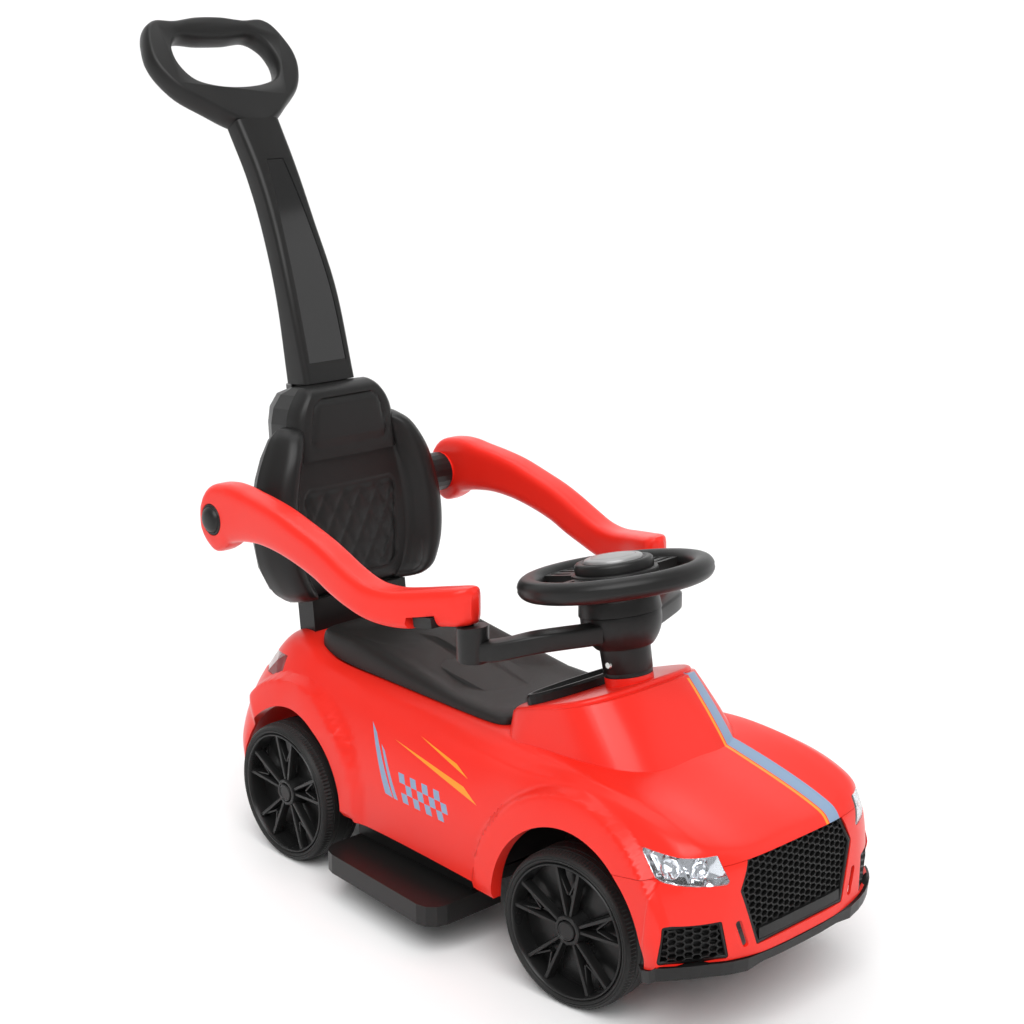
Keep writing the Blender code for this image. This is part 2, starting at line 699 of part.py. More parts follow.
def build_chassis(black, column):
    top = CHASSIS_Z + CHASSIS_WALL
    half = [(CHASSIS_NOSE_HALF_WIDTH, CHASSIS_NOSE_Y), (CHASSIS_NOSE_HALF_WIDTH, -0.134),
            (CHASSIS_HALF_WIDTH, -0.130), (CHASSIS_HALF_WIDTH, 0.040),
            (CHASSIS_TAIL_HALF_WIDTH, 0.052), (CHASSIS_TAIL_HALF_WIDTH, 0.245)]
    outline = half + [(-x, y) for x, y in reversed(half)]
    chassis = link("chassis", prism(outline, CHASSIS_Z, top, "Z"), black)
    ear = KINGPIN_EAR
    kx = KINGPIN_X
    pieces = [
        ("lower_ears", block((-kx - ear, KINGPIN_Y - ear, CHASSIS_Z),
                             (kx + ear, KINGPIN_Y + ear, KNUCKLE_FOOT - FIT_GAP))),
        ("upper_ears", block((-kx - ear, KINGPIN_Y - ear, KNUCKLE_TOP + FIT_GAP),
                             (kx + ear, KINGPIN_Y + ear, KNUCKLE_TOP + FIT_GAP + 0.006))),
        ("bracket_post", block((-0.020, -0.296, top - 0.002), (0.020, -0.2625, 0.1370))),
        ("bracket_top", block((-0.020, -0.296, 0.1250), (0.020, -0.2360, 0.1370))),
        ("bulkhead_foot", block((-0.030, -0.172, top - 0.002), (0.030, -0.162, 0.100))),
        ("bulkhead", block((-BULKHEAD_HALF_WIDTH, -0.170, BULKHEAD_FOOT),
                           (BULKHEAD_HALF_WIDTH, -0.164, BULKHEAD_TOP))),
    ]
    for side in (-1, 1):
        low, high = sorted((side * 0.058, side * (WHEEL_FACE_X - TYRE_WIDTH - 2 * FIT_GAP)))
        pieces.append(("axle_ear", block((low, REAR_AXLE_Y - 0.010, CHASSIS_Z + 0.004),
                                         (high, REAR_AXLE_Y + 0.010, TYRE_RADIUS + 0.010))))
    for name, bm in pieces:
        combine(chassis, link(name, bm), "UNION")
    combine(chassis, link("shaft_bore", rod(AXLE_RADIUS + FIT_GAP, -0.2, -0.14, 16),
                          parent=column))
    bore = rod(AXLE_RADIUS + FIT_GAP, -0.1, 0.1, 16, "X")
    axle_bore = link("axle_bore", bore)
    axle_bore.location = (0.0, REAR_AXLE_Y, TYRE_RADIUS)
    combine(chassis, axle_bore)
    for side in (-1, 1):
        way = link("kingpin_bore", rod(KINGPIN_RADIUS + FIT_GAP, 0.03, 0.12))
        way.location = (side * KINGPIN_X, KINGPIN_Y, 0.0)
        combine(chassis, way)
    return chassis


def footrest_outline(side, inset):
    corners = [(FOOTREST_INNER_X + inset, FOOTREST_FRONT_Y + inset),
               (FOOTREST_FRONT_X - inset, FOOTREST_FRONT_Y + inset),
               (FOOTREST_REAR_X - inset, FOOTREST_REAR_Y - inset),
               (FOOTREST_INNER_X + inset, FOOTREST_REAR_Y - inset)]
    corners = [corners[0]] + rounded(corners, 0.020 - inset, 3)[4:12] + [corners[3]]
    return [(side * x, y) for x, y in corners]


def build_footrests(black):
    top = CHASSIS_Z - FIT_GAP
    for side, word in ((-1, "right"), (1, "left")):
        rest = link("footrest_" + word,
                    prism(footrest_outline(side, 0.0), top - FOOTREST_WALL, top, "Z"), black)
        hollow = prism(footrest_outline(side, 0.004), top - FOOTREST_WALL - 0.01, top - 0.004, "Z")
        combine(rest, link("footrest_hollow", hollow))


def build_bin(black):
    floor = CHASSIS_Z + CHASSIS_WALL + FIT_GAP
    rim = WELL_RIM_Z + FIT_GAP
    outer, flange = seat_well(-FIT_GAP), seat_well(BIN_FLANGE)
    inner = seat_well(-FIT_GAP - BIN_WALL)
    rings = [[(x, y, z) for x, y in outline] for outline, z in (
        (inner, floor + BIN_WALL), (inner, rim + BIN_WALL), (flange, rim + BIN_WALL),
        (flange, rim), (outer, rim), (outer, floor))]
    link("storage_bin", loft(rings), black)


def seat_crest(y):
    # the seat's top edge rises towards the backrest
    rise = min(max((y + 0.045) / 0.105, 0.0), 1.0)
    return 0.2150 + 0.0210 * rise * rise * (3 - 2 * rise)


def build_seat(black):
    middle_y = (SEAT_FRONT_Y + SEAT_REAR_Y) / 2
    half_length = (SEAT_REAR_Y - SEAT_FRONT_Y) / 2
    bm = bmesh.new()
    rings = []
    for inset, level in ((0.0, 0.0), (0.001, 0.7), (0.009, 1.0), (0.045, 1.03)):
        ring = []
        for a, b in superellipse(SEAT_HALF_WIDTH - inset, half_length - inset,
                                SEAT_SQUARENESS, 28, 0.5):
            y = middle_y + b
            low = max(SEAT_SKIRT_Z, deck_height(y, SEAT_EDGE_LINE) + 0.0012)
            hollow = 0.002 + 0.005 * min(max((y - SEAT_FRONT_Y) / 0.2, 0.0), 1.0)
            dip = hollow * (1 - (a / SEAT_HALF_WIDTH) ** 2) if level >= 1.0 else 0.0
            z = low + (seat_crest(y) - low) * min(level, 1.0) - dip
            ring.append(bm.verts.new((a, y, z)))
        rings.append(ring)
    for near, far in zip(rings, rings[1:]):
        for k in range(28):
            bm.faces.new((near[k], near[(k + 1) % 28], far[(k + 1) % 28], far[k]))
    bm.faces.new(rings[-1])
    seat = link("seat", bm, black)
    wall = seat.modifiers.new("wall", "SOLIDIFY")
    wall.thickness = SEAT_WALL
    wall.offset = -1
    return seat


# Wheels and steering

def wheel_meshes():
    # tyre and rim with the outer face at x = 0 and the wheel reaching towards +X
    seat = TYRE_RADIUS - TYRE_WALL
    tyre = turned([(seat, 0.0006), (seat + 0.005, 0.0), (TYRE_RADIUS - 0.002, 0.002),
                   (TYRE_RADIUS, 0.008), (TYRE_RADIUS, TYRE_WIDTH - 0.008),
                   (TYRE_RADIUS - 0.002, TYRE_WIDTH - 0.002), (seat + 0.005, TYRE_WIDTH),
                   (seat, TYRE_WIDTH - 0.0006)], 20, "X", close=True)
    outer = seat - FIT_GAP
    inner = outer - RIM_WALL
    bore = AXLE_RADIUS + FIT_GAP
    face = RIM_RECESS + 0.001
    rim = turned([(bore, face + CAP_POCKET), (CAP_RADIUS_IN_HUB, face + CAP_POCKET),
                  (CAP_RADIUS_IN_HUB, face), (HUB_RADIUS, face),
                  (HUB_RADIUS, WEB_DEPTH), (inner, WEB_DEPTH), (inner, 0.001), (outer, 0.001),
                  (outer, TYRE_WIDTH - 0.001), (inner, TYRE_WIDTH - 0.001),
                  (inner, WEB_DEPTH + WEB_WALL), (HUB_RADIUS, WEB_DEPTH + WEB_WALL),
                  (HUB_RADIUS, TYRE_WIDTH - 0.001), (bore, TYRE_WIDTH - 0.001)], 20, "X",
                 close=True)
    spokes = bmesh.new()
    reach = inner + RIM_WALL / 2
    across = SPOKE_WIDTH / 2
    sharp = across / sin(SPOKE_TWIN)
    side = [(HUB_RADIUS * 0.8 * cos(SPOKE_TWIN) - across * sin(SPOKE_TWIN),
             HUB_RADIUS * 0.8 * sin(SPOKE_TWIN) + across * cos(SPOKE_TWIN)),
            (reach * cos(SPOKE_TWIN) - across * sin(SPOKE_TWIN),
             reach * sin(SPOKE_TWIN) + across * cos(SPOKE_TWIN)),
            (reach * cos(SPOKE_TWIN) + across * sin(SPOKE_TWIN),
             reach * sin(SPOKE_TWIN) - across * cos(SPOKE_TWIN))]
    outline = side + [(sharp, 0.0)] + [(r, -a) for r, a in reversed(side)]
    for k in range(5):
        bar = prism(outline, RIM_RECESS, RIM_RECESS + SPOKE_DEPTH, "X")
        bmesh.ops.rotate(bar, verts=bar.verts, cent=(0.0, 0.0, 0.0),
                         matrix=Matrix.Rotation(2 * pi * (k + 0.25) / 5, 3, "X"))
        add_to(spokes, bar)
    return tyre, rim, spokes


def add_to(whole, part):
    bmesh.ops.recalc_face_normals(part, faces=part.faces)
    mesh = bpy.data.meshes.new("part")
    part.to_mesh(mesh)
    part.free()
    whole.from_mesh(mesh)


def build_wheel(word, side, holder, mats):
    # holder stands in the ground plane under the wheel's middle line
    tyre, rim, spokes = wheel_meshes()
    turn = empty("wheel_spin_" + word, (side * (WHEEL_FACE_X - abs(holder.location.x)), 0.0,
                                        TYRE_RADIUS), (0.0, 0.0, pi if side > 0 else 0.0), holder)
    link("tyre_" + word, tyre, mats["rubber"], turn)
    wheel = link("rim_" + word, rim, mats["rim"], turn)
    combine(wheel, link("spokes_" + word, spokes, parent=turn), "UNION")
    face = RIM_RECESS + 0.0006
    link("hub_cap_" + word, rod(CAP_RADIUS_IN_HUB - FIT_GAP, face, face + HUB_CAP_WALL, 14, "X"),
         mats["rim"], turn)


def axle_profile(start, end):
    # from the axis at start to the axis at end, with a head at the end
    head = end - AXLE_HEAD_WALL
    return [(AXLE_RADIUS, start), (AXLE_RADIUS, head), (AXLE_HEAD_RADIUS, head),
            (AXLE_HEAD_RADIUS, end), (0.0, end)]


def build_axles(mats, right, left):
    hub_in = WHEEL_FACE_X - TYRE_WIDTH + 0.001
    end = WHEEL_FACE_X - RIM_RECESS - 0.001 - CAP_POCKET + AXLE_HEAD_WALL + FIT_GAP
    half = axle_profile(0.0, end)[1:]
    rear = link("rear_axle", turned([(r, -x) for r, x in reversed(half)] + half, 12, "X"),
                mats["steel"])
    rear.location = (0.0, REAR_AXLE_Y, TYRE_RADIUS)
    for side, word, holder in ((-1, "right", right), (1, "left", left)):
        body = rod(KNUCKLE_RADIUS, KNUCKLE_FOOT, KNUCKLE_TOP, 16)
        knuckle = link("knuckle_" + word, body, mats["black"], holder)
        shoulder = hub_in - FIT_GAP - KINGPIN_X
        profile = [(0.0, 0.0), (0.007, 0.0), (0.007, shoulder)]
        profile += axle_profile(shoulder, end - KINGPIN_X)
        stub = link("stub_" + word, turned([(r, side * x) for r, x in profile], 12, "X"),
                    parent=holder)
        stub.location.z = TYRE_RADIUS
        arm = link("steering_arm_" + word,
                   block((-0.005, 0.0, STEER_ARM_Z), (0.005, STEER_ARM + 0.005,
                                                      STEER_ARM_Z + STEER_ARM_WALL)),
                   parent=holder)
        pin = link("arm_pin_" + word,
                   rod(ROD_PIN_RADIUS, STEER_ARM_Z, STEER_ARM_Z + STEER_ARM_WALL + FIT_GAP
                       + TRACK_ROD_WALL + 0.0012, 10), parent=holder)
        pin.location.y = STEER_ARM
        for piece in (stub, arm, pin):
            combine(knuckle, piece, "UNION")
        combine(knuckle, link("kingpin_way_" + word, rod(KINGPIN_RADIUS + FIT_GAP, 0.05, 0.11),
                              parent=holder))
    beam_top = KNUCKLE_TOP + FIT_GAP + BEAM_WALL
    for side, word in ((-1, "right"), (1, "left")):
        pin = turned([(0.0, CHASSIS_Z + 0.001), (KINGPIN_RADIUS, CHASSIS_Z + 0.001),
                      (KINGPIN_RADIUS, beam_top + FIT_GAP), (0.006, beam_top + FIT_GAP),
                      (0.006, beam_top + 0.0025), (0.0, beam_top + 0.0025)], 12)
        kingpin = link("kingpin_" + word, pin, mats["steel"])
        kingpin.location = (side * KINGPIN_X, KINGPIN_Y, 0.0)


def build_track_rod(mats):
    low = STEER_ARM_Z + STEER_ARM_WALL + FIT_GAP
    shift = -STEER_ARM * sin(REST_STEER)
    slide = empty("track_rod_slide", (shift, KINGPIN_Y + STEER_ARM, low))
    half, cut = KINGPIN_X + ROD_END, ROD_CORNER_CUT
    outline = [(-half, -0.0115 + cut), (cut - half, -0.0115), (half - cut, -0.0115),
               (half, -0.0115 + cut), (half, 0.006 - cut), (half - cut, 0.006), (0.012, 0.006),
               (0.010, ROD_SLOT_Y + 0.006), (-0.010, ROD_SLOT_Y + 0.006), (-0.012, 0.006),
               (cut - half, 0.006), (-half, 0.006 - cut)]
    bar = link("track_rod", prism(outline, 0.0, TRACK_ROD_WALL, "Z"), mats["black"], slide)
    reach = ROD_PIN_RADIUS + ROD_PIN_PLAY
    for x, y0, y1 in ((-KINGPIN_X, -0.0085, reach), (KINGPIN_X, -0.0085, reach),
                      (0.0, ROD_SLOT_Y - 0.0085, ROD_SLOT_Y + 0.0036)):
        slot = block((x - reach, y0, -0.002), (x + reach, y1, TRACK_ROD_WALL + 0.002))
        combine(bar, link("rod_slot", slot, parent=slide))


def build_column(mats, column, turning):
    sleeve = turned([(SLEEVE_BOTTOM_RADIUS, SLEEVE_FOOT), (SLEEVE_TOP_RADIUS, SLEEVE_TOP),
                     (SLEEVE_TOP_RADIUS - 0.004, SLEEVE_TOP),
                     (SLEEVE_BOTTOM_RADIUS - 0.004, SLEEVE_FOOT + 0.007),
                     (AXLE_RADIUS + 0.0005, SLEEVE_FOOT + 0.007),
                     (AXLE_RADIUS + 0.0005, SLEEVE_FOOT)], 20, close=True)
    sleeve = link("column_sleeve", sleeve, mats["black"], column)
    seat = SLEEVE_BOTTOM_RADIUS + 0.0007
    screw = turned([(0.0, -seat - 0.0018), (0.0028, -seat - 0.0018), (0.0036, -seat),
                    (0.0014, -seat), (0.0014, 0.0070 - seat), (0.0, 0.0070 - seat)], 12, "X")
    screw = link("column_screw", screw, mats["zinc"], column)
    screw.location.z = SCREW_LIFT
    way = link("screw_way", rod(0.0014 + FIT_GAP, -0.030, -0.014, 10, "X"), parent=column)
    way.location.z = SCREW_LIFT
    combine(sleeve, way)

    shaft = link("steering_shaft", rod(AXLE_RADIUS, SHAFT_FOOT - AXLE_RADIUS, SHAFT_TOP, 12),
                 mats["steel"], turning)
    crank = link("crank", rod(AXLE_RADIUS, -0.001, STEER_ARM + 0.003, 12, "Y"), parent=turning)
    crank.location = (0.0, 0.0, SHAFT_FOOT)
    pin = link("crank_pin", rod(ROD_PIN_RADIUS, SHAFT_FOOT - CRANK_PIN_LENGTH, SHAFT_FOOT, 10),
               parent=turning)
    pin.location.y = STEER_ARM
    combine(shaft, crank, "UNION")
    combine(shaft, pin, "UNION")


def build_steering_wheel(mats, turning):
    ring = bmesh.new()
    rows = []
    for k in range(28):
        angle = 2 * pi * k / 28
        rows.append([ring.verts.new(((GRIP_RING_RADIUS + GRIP_TUBE_RADIUS * cos(2 * pi * m / 8))
                                     * cos(angle),
                                     (GRIP_RING_RADIUS + GRIP_TUBE_RADIUS * cos(2 * pi * m / 8))
                                     * sin(angle),
                                     GRIP_RING_LIFT + GRIP_TUBE_RADIUS * sin(2 * pi * m / 8)))
                     for m in range(8)])
    for k in range(28):
        for m in range(8):
            ring.faces.new((rows[k][m], rows[(k + 1) % 28][m], rows[(k + 1) % 28][(m + 1) % 8],
                            rows[k][(m + 1) % 8]))
    wheel = link("steering_wheel", ring, mats["black"], turning)
    hub = turned([(0.0, WHEEL_HUB_FOOT), (WHEEL_HUB_RADIUS - 0.004, WHEEL_HUB_FOOT),
                  (WHEEL_HUB_RADIUS, WHEEL_HUB_FOOT + 0.005), (WHEEL_HUB_RADIUS, PAD_SEAT - 0.002),
                  (WHEEL_HUB_RADIUS - 0.003, PAD_SEAT), (0.0, PAD_SEAT)], 24)
    combine(wheel, link("wheel_hub", hub, parent=turning), "UNION")
    for angle in SPOKE_ANGLES:
        spoke = block((WHEEL_HUB_RADIUS - 0.006, -0.019, GRIP_RING_LIFT - 0.0055),
                      (GRIP_RING_RADIUS, 0.019, GRIP_RING_LIFT + 0.0045))
        window = block((WHEEL_HUB_RADIUS + 0.003, -0.010, GRIP_RING_LIFT - 0.012),
                       (GRIP_RING_RADIUS - GRIP_TUBE_RADIUS - 0.002, 0.010,
                        GRIP_RING_LIFT + 0.012))
        for bm in (spoke, window):
            bmesh.ops.rotate(bm, verts=bm.verts, cent=(0.0, 0.0, 0.0),
                             matrix=Matrix.Rotation(radians(angle), 3, "Z"))
        combine(wheel, link("wheel_spoke", spoke, parent=turning), "UNION")
        combine(wheel, link("wheel_window", window, parent=turning))
    combine(wheel, link("shaft_seat", rod(AXLE_RADIUS + FIT_GAP, 0.02, SHAFT_TOP + FIT_GAP, 12),
                        parent=turning))
    floor = PAD_SEAT + FIT_GAP
    rim_in = HORN_RADIUS + FIT_GAP
    pad = turned([(0.0, floor), (PAD_RADIUS, floor), (PAD_RADIUS, PAD_TOP - 0.003),
                  (PAD_RADIUS - 0.003, PAD_TOP), (rim_in, PAD_TOP), (rim_in, floor + PAD_WALL),
                  (0.0, floor + PAD_WALL)], 24)
    link("horn_pad", pad, mats["black"], turning)
    horn = turned([(0.0, floor + PAD_WALL + HORN_TRAVEL + FIT_GAP),
                   (HORN_RADIUS, floor + PAD_WALL + HORN_TRAVEL + FIT_GAP),
                   (HORN_RADIUS, PAD_TOP + 0.002), (HORN_RADIUS - 0.002, PAD_TOP + 0.0032),
                   (0.0, PAD_TOP + 0.0042)], 24)
    link("horn_button", horn, mats["silver"], turning)


def arm_value(y, column):
    for near, far in zip(ARM_PROFILE, ARM_PROFILE[1:]):
        if near[0] <= y <= far[0]:
            share = (y - near[0]) / (far[0] - near[0])
            return near[column] + (far[column] - near[column]) * share
    return ARM_PROFILE[0][column]


def arm_centre_x(y):
    return arm_value(y, 1)


def arm_bottom(y):
    return arm_value(y, 3)


def build_cross_bar(mats, column):
    bowl = [(0.0, BOWL_FOOT)]
    for k in range(5):
        lift = BOWL_FOOT + (BOWL_MIDDLE - BOWL_FOOT) * k / 4
        bowl.append(((BOWL_RADIUS ** 2 - (BOWL_MIDDLE - lift) ** 2) ** 0.5, lift))
    bowl += [(BOWL_RADIUS, BOWL_SEAM), (0.0, BOWL_SEAM)]
    bar = link("cross_bar", turned(bowl, 20), mats["black"], column)
    for side in (-1, 1):
        spots = [Vector((side * x, y)) for x, y, _, _ in BAR_PATH]
        rings = []
        for k, (spot, (_, _, low, high)) in enumerate(zip(spots, BAR_PATH)):
            along = spots[min(k + 1, len(spots) - 1)] - spots[max(k - 1, 0)]
            across = Vector((along.y, -along.x)).normalized() * BAR_WIDTH / 2
            near, far = spot - across, spot + across
            rings.append([(near.x, near.y, low), (far.x, far.y, low), (far.x, far.y, high),
                          (near.x, near.y, high)])
        combine(bar, link("bar_arm", loft(rings)), "UNION")
        post = []
        for high in (False, True):
            ring = []
            for k in range(14):
                x = side * POST_X + POST_RADIUS * cos(2 * pi * k / 14)
                y = POST_Y + POST_RADIUS * sin(2 * pi * k / 14)
                ring.append((x, y, post_top(y) if high else POST_FOOT_Z))
            post.append(ring)
        combine(bar, link("post", loft(post)), "UNION")
        peg = rod(PEG_RADIUS, POST_FOOT_Z + 0.02, post_top(PEG_Y) + PEG_HEIGHT, 14)
        peg = link("peg", peg)
        peg.location = (side * POST_X, PEG_Y, 0.0)
        combine(bar, peg, "UNION")
    hollow = turned([(0.0, BOWL_FOOT - 0.002), (SLEEVE_TOP_RADIUS + FIT_GAP, BOWL_FOOT - 0.002),
                     (SLEEVE_TOP_RADIUS + FIT_GAP, SLEEVE_TOP + FIT_GAP),
                     (AXLE_RADIUS + 0.0005, SLEEVE_TOP + FIT_GAP),
                     (AXLE_RADIUS + 0.0005, BOWL_FLOOR), (BOWL_RADIUS - 0.004, BOWL_FLOOR),
                     (BOWL_RADIUS - 0.004, BOWL_SEAM + 0.03), (0.0, BOWL_SEAM + 0.03)], 20)
    combine(bar, link("bowl_hollow", hollow, parent=column))
    seam = BOWL_SEAM + FIT_GAP
    cover = turned([(COVER_RADIUS + 0.003, seam), (COVER_RADIUS, COVER_TOP - 0.006),
                    (COVER_RADIUS - 0.006, COVER_TOP), (AXLE_RADIUS + 0.0005, COVER_TOP),
                    (AXLE_RADIUS + 0.0005, COVER_TOP - 0.003),
                    (COVER_RADIUS - 0.007, COVER_TOP - 0.003), (COVER_RADIUS - 0.0035, seam)],
                   20, close=True)
    link("column_cover", cover, mats["black"], column)


def post_top(y):
    # the post ends under the arm, on the same slope
    slope = (arm_bottom(-0.120) - arm_bottom(-0.140)) / 0.020
    return arm_bottom(-0.140) + slope * (y + 0.140) - FIT_GAP


# Guard arms

def build_arm(side, word, mats):
    swing = empty("arm_swing_" + word, (0.0, ARM_PIVOT_Y, ARM_PIVOT_Z))
    origin = Vector((0.0, ARM_PIVOT_Y, ARM_PIVOT_Z))
    half = ARM_THICKNESS / 2
    rings = []
    for y, centre, top, bottom in ARM_PROFILE:
        blunt = 0.6 if y in (ARM_PROFILE[0][0], ARM_PROFILE[-1][0]) else 1.0
        trim = min(0.0065, (top - bottom) * 0.4)
        x = side * centre
        rings.append([Vector(p) - origin for p in (
            (x - half * blunt, y, bottom + trim), (x - (half - 0.0065) * blunt, y, bottom),
            (x + (half - 0.0065) * blunt, y, bottom), (x + half * blunt, y, bottom + trim),
            (x + half * blunt, y, top - trim), (x + (half - 0.0065) * blunt, y, top),
            (x - (half - 0.0065) * blunt, y, top), (x - half * blunt, y, top - trim))])
    arm = link("guard_arm_" + word, loft(rings), mats["red"], swing)
    inner = ARM_REAR_X - half
    face = sorted((side * (inner - 0.012), side * ARM_FACE_X))
    combine(arm, link("arm_face_cut", rod(0.034, *face, 20, "X"), parent=swing))
    way = sorted((side * 0.12, side * (PIN_END + FIT_GAP)))
    combine(arm, link("boss_way", rod(ARM_BOSS_RADIUS - 0.002, *way, 20, "X"), parent=swing))
    boss = sorted((side * ARM_FACE_X, side * (PIN_END + FIT_GAP + 0.001)))
    boss = tube(ARM_BOSS_RADIUS, HINGE_PIN_RADIUS + FIT_GAP, *boss, 20, "X")
    combine(arm, link("arm_boss", boss, parent=swing), "UNION")
    recess = sorted((side * CAP_FLOOR_X, side * 0.19))
    combine(arm, link("cap_recess", rod(CAP_RADIUS + FIT_GAP, *recess, 20, "X"), parent=swing))
    cap = link("pivot_cap_" + word, turned([(0.0, CAP_FLOOR_X + FIT_GAP),
                                            (CAP_RADIUS, CAP_FLOOR_X + FIT_GAP),
                                            (CAP_RADIUS, CAP_DOME_X - 0.005),
                                            (CAP_RADIUS * 0.72, CAP_DOME_X - 0.0015),
                                            (0.0, CAP_DOME_X)], 20, "X"),
               mats["black"], swing)
    if side < 0:
        cap.rotation_euler.z = pi
    pocket = link("peg_pocket", rod(PEG_RADIUS + PEG_PLAY, 0.30,
                                    post_top(PEG_Y) + PEG_HEIGHT + 0.0015, 16), parent=swing)
    pocket.location = Vector((side * POST_X, PEG_Y, 0.0)) - origin
    combine(arm, pocket)

    notch_z = arm_bottom((LATCH_REAR_Y + LATCH_FRONT_Y) / 2) + LATCH_HEIGHT / 2
    middle_y = (LATCH_REAR_Y + LATCH_FRONT_Y) / 2
    middle_x = side * arm_centre_x(middle_y)
    slope = (post_top(-0.120) - post_top(-0.140)) / 0.020
    latch_frame = empty("latch_frame_" + word,
                        Vector((middle_x, middle_y, notch_z)) - origin,
                        (atan(slope), 0.0, 0.0), swing)
    length = LATCH_REAR_Y - LATCH_FRONT_Y
    width = ARM_THICKNESS / 2 + 0.004
    deep = LATCH_HEIGHT / 2
    notch = block((-width, -length / 2, -deep - 0.01), (width, length / 2, deep))
    combine(arm, link("latch_notch", notch, parent=latch_frame))
    latch = block((-width + 0.0048, -length / 2 + 0.0003, -deep + 0.0015),
                  (width - 0.0048, length / 2 - LATCH_TRAVEL - 0.0003, deep - FIT_GAP))
    link("arm_latch_" + word, latch, mats["black"], latch_frame)
    return arm


# Backrest and push handle

# Rows of the backrest: height on the straight car, half-width, and how much of the full depth
# the row has. The head block stands on the same seam.
BACK_ROWS = (
    (.2535, .0800, 0.0), (.2545, .0815, 0.45), (.2590, .0890, 0.85), (.2700, .1010, 1.0),
    (.2950, .1130, 1.0), (.3250, .1170, 1.0), (.3550, .1145, 1.0), (.3850, .1065, 1.0),
    (.4060, .0970, 0.95), (.4240, .0865, 0.75), (.4330, .0765, 0.40), (.4350, .0725, 0.0),
)
HEAD_ROWS = (
    (.3980, .0655, 0.0), (.3987, .0655, 0.9), (.4020, .0655, 1.0), (.4360, .0640, 1.0),
    (.4520, .0590, 1.0), (.4650, .0500, 0.9), (.4715, .0440, 0.5), (.4730, .0410, 0.0),
)
# Share of the half-width and depth there
BACK_FRONT_SHAPE = ((1.0, 0.003), (.965, -.0180), (.87, -.0350), (.74, -.0340), (.61, -.0130))
BACK_REAR_SHAPE = ((1.0, 0.001), (.95, .0140), (.80, .0260), (.45, .0370))
HEAD_FRONT_SHAPE = ((1.0, 0.003), (.95, -.0150), (.82, -.0205))
HEAD_REAR_SHAPE = ((1.0, 0.001), (.95, .0330), (.80, .0520))


def back_height(z):
    return (z - BACK_FOOT_Z) / cos(BACK_RAKE)


def cup(name, rows, shape, mat, parent):
    # an open cup over rows and columns, made a wall
    bm = bmesh.new()
    grid = []
    for z, half, level in rows:
        right = [Vector((-half * share, shape[0][1] + level * (depth - shape[0][1]),
                         back_height(z))) for share, depth in shape]
        line = right + [Vector((-p.x, p.y, p.z)) for p in reversed(right)]
        grid.append([bm.verts.new(p) for p in line])
    for near, far in zip(grid, grid[1:]):
        for k in range(len(near) - 1):
            bm.faces.new((near[k], near[k + 1], far[k + 1], far[k]))
    if shape[1][1] > 0:
        bmesh.ops.reverse_faces(bm, faces=bm.faces)
    shell = link(name, bm, mat, parent, closed=False)
    wall = shell.modifiers.new("wall", "SOLIDIFY")
    wall.thickness = BACK_WALL
    wall.offset = -1
    wall.use_even_offset = True
    return shell


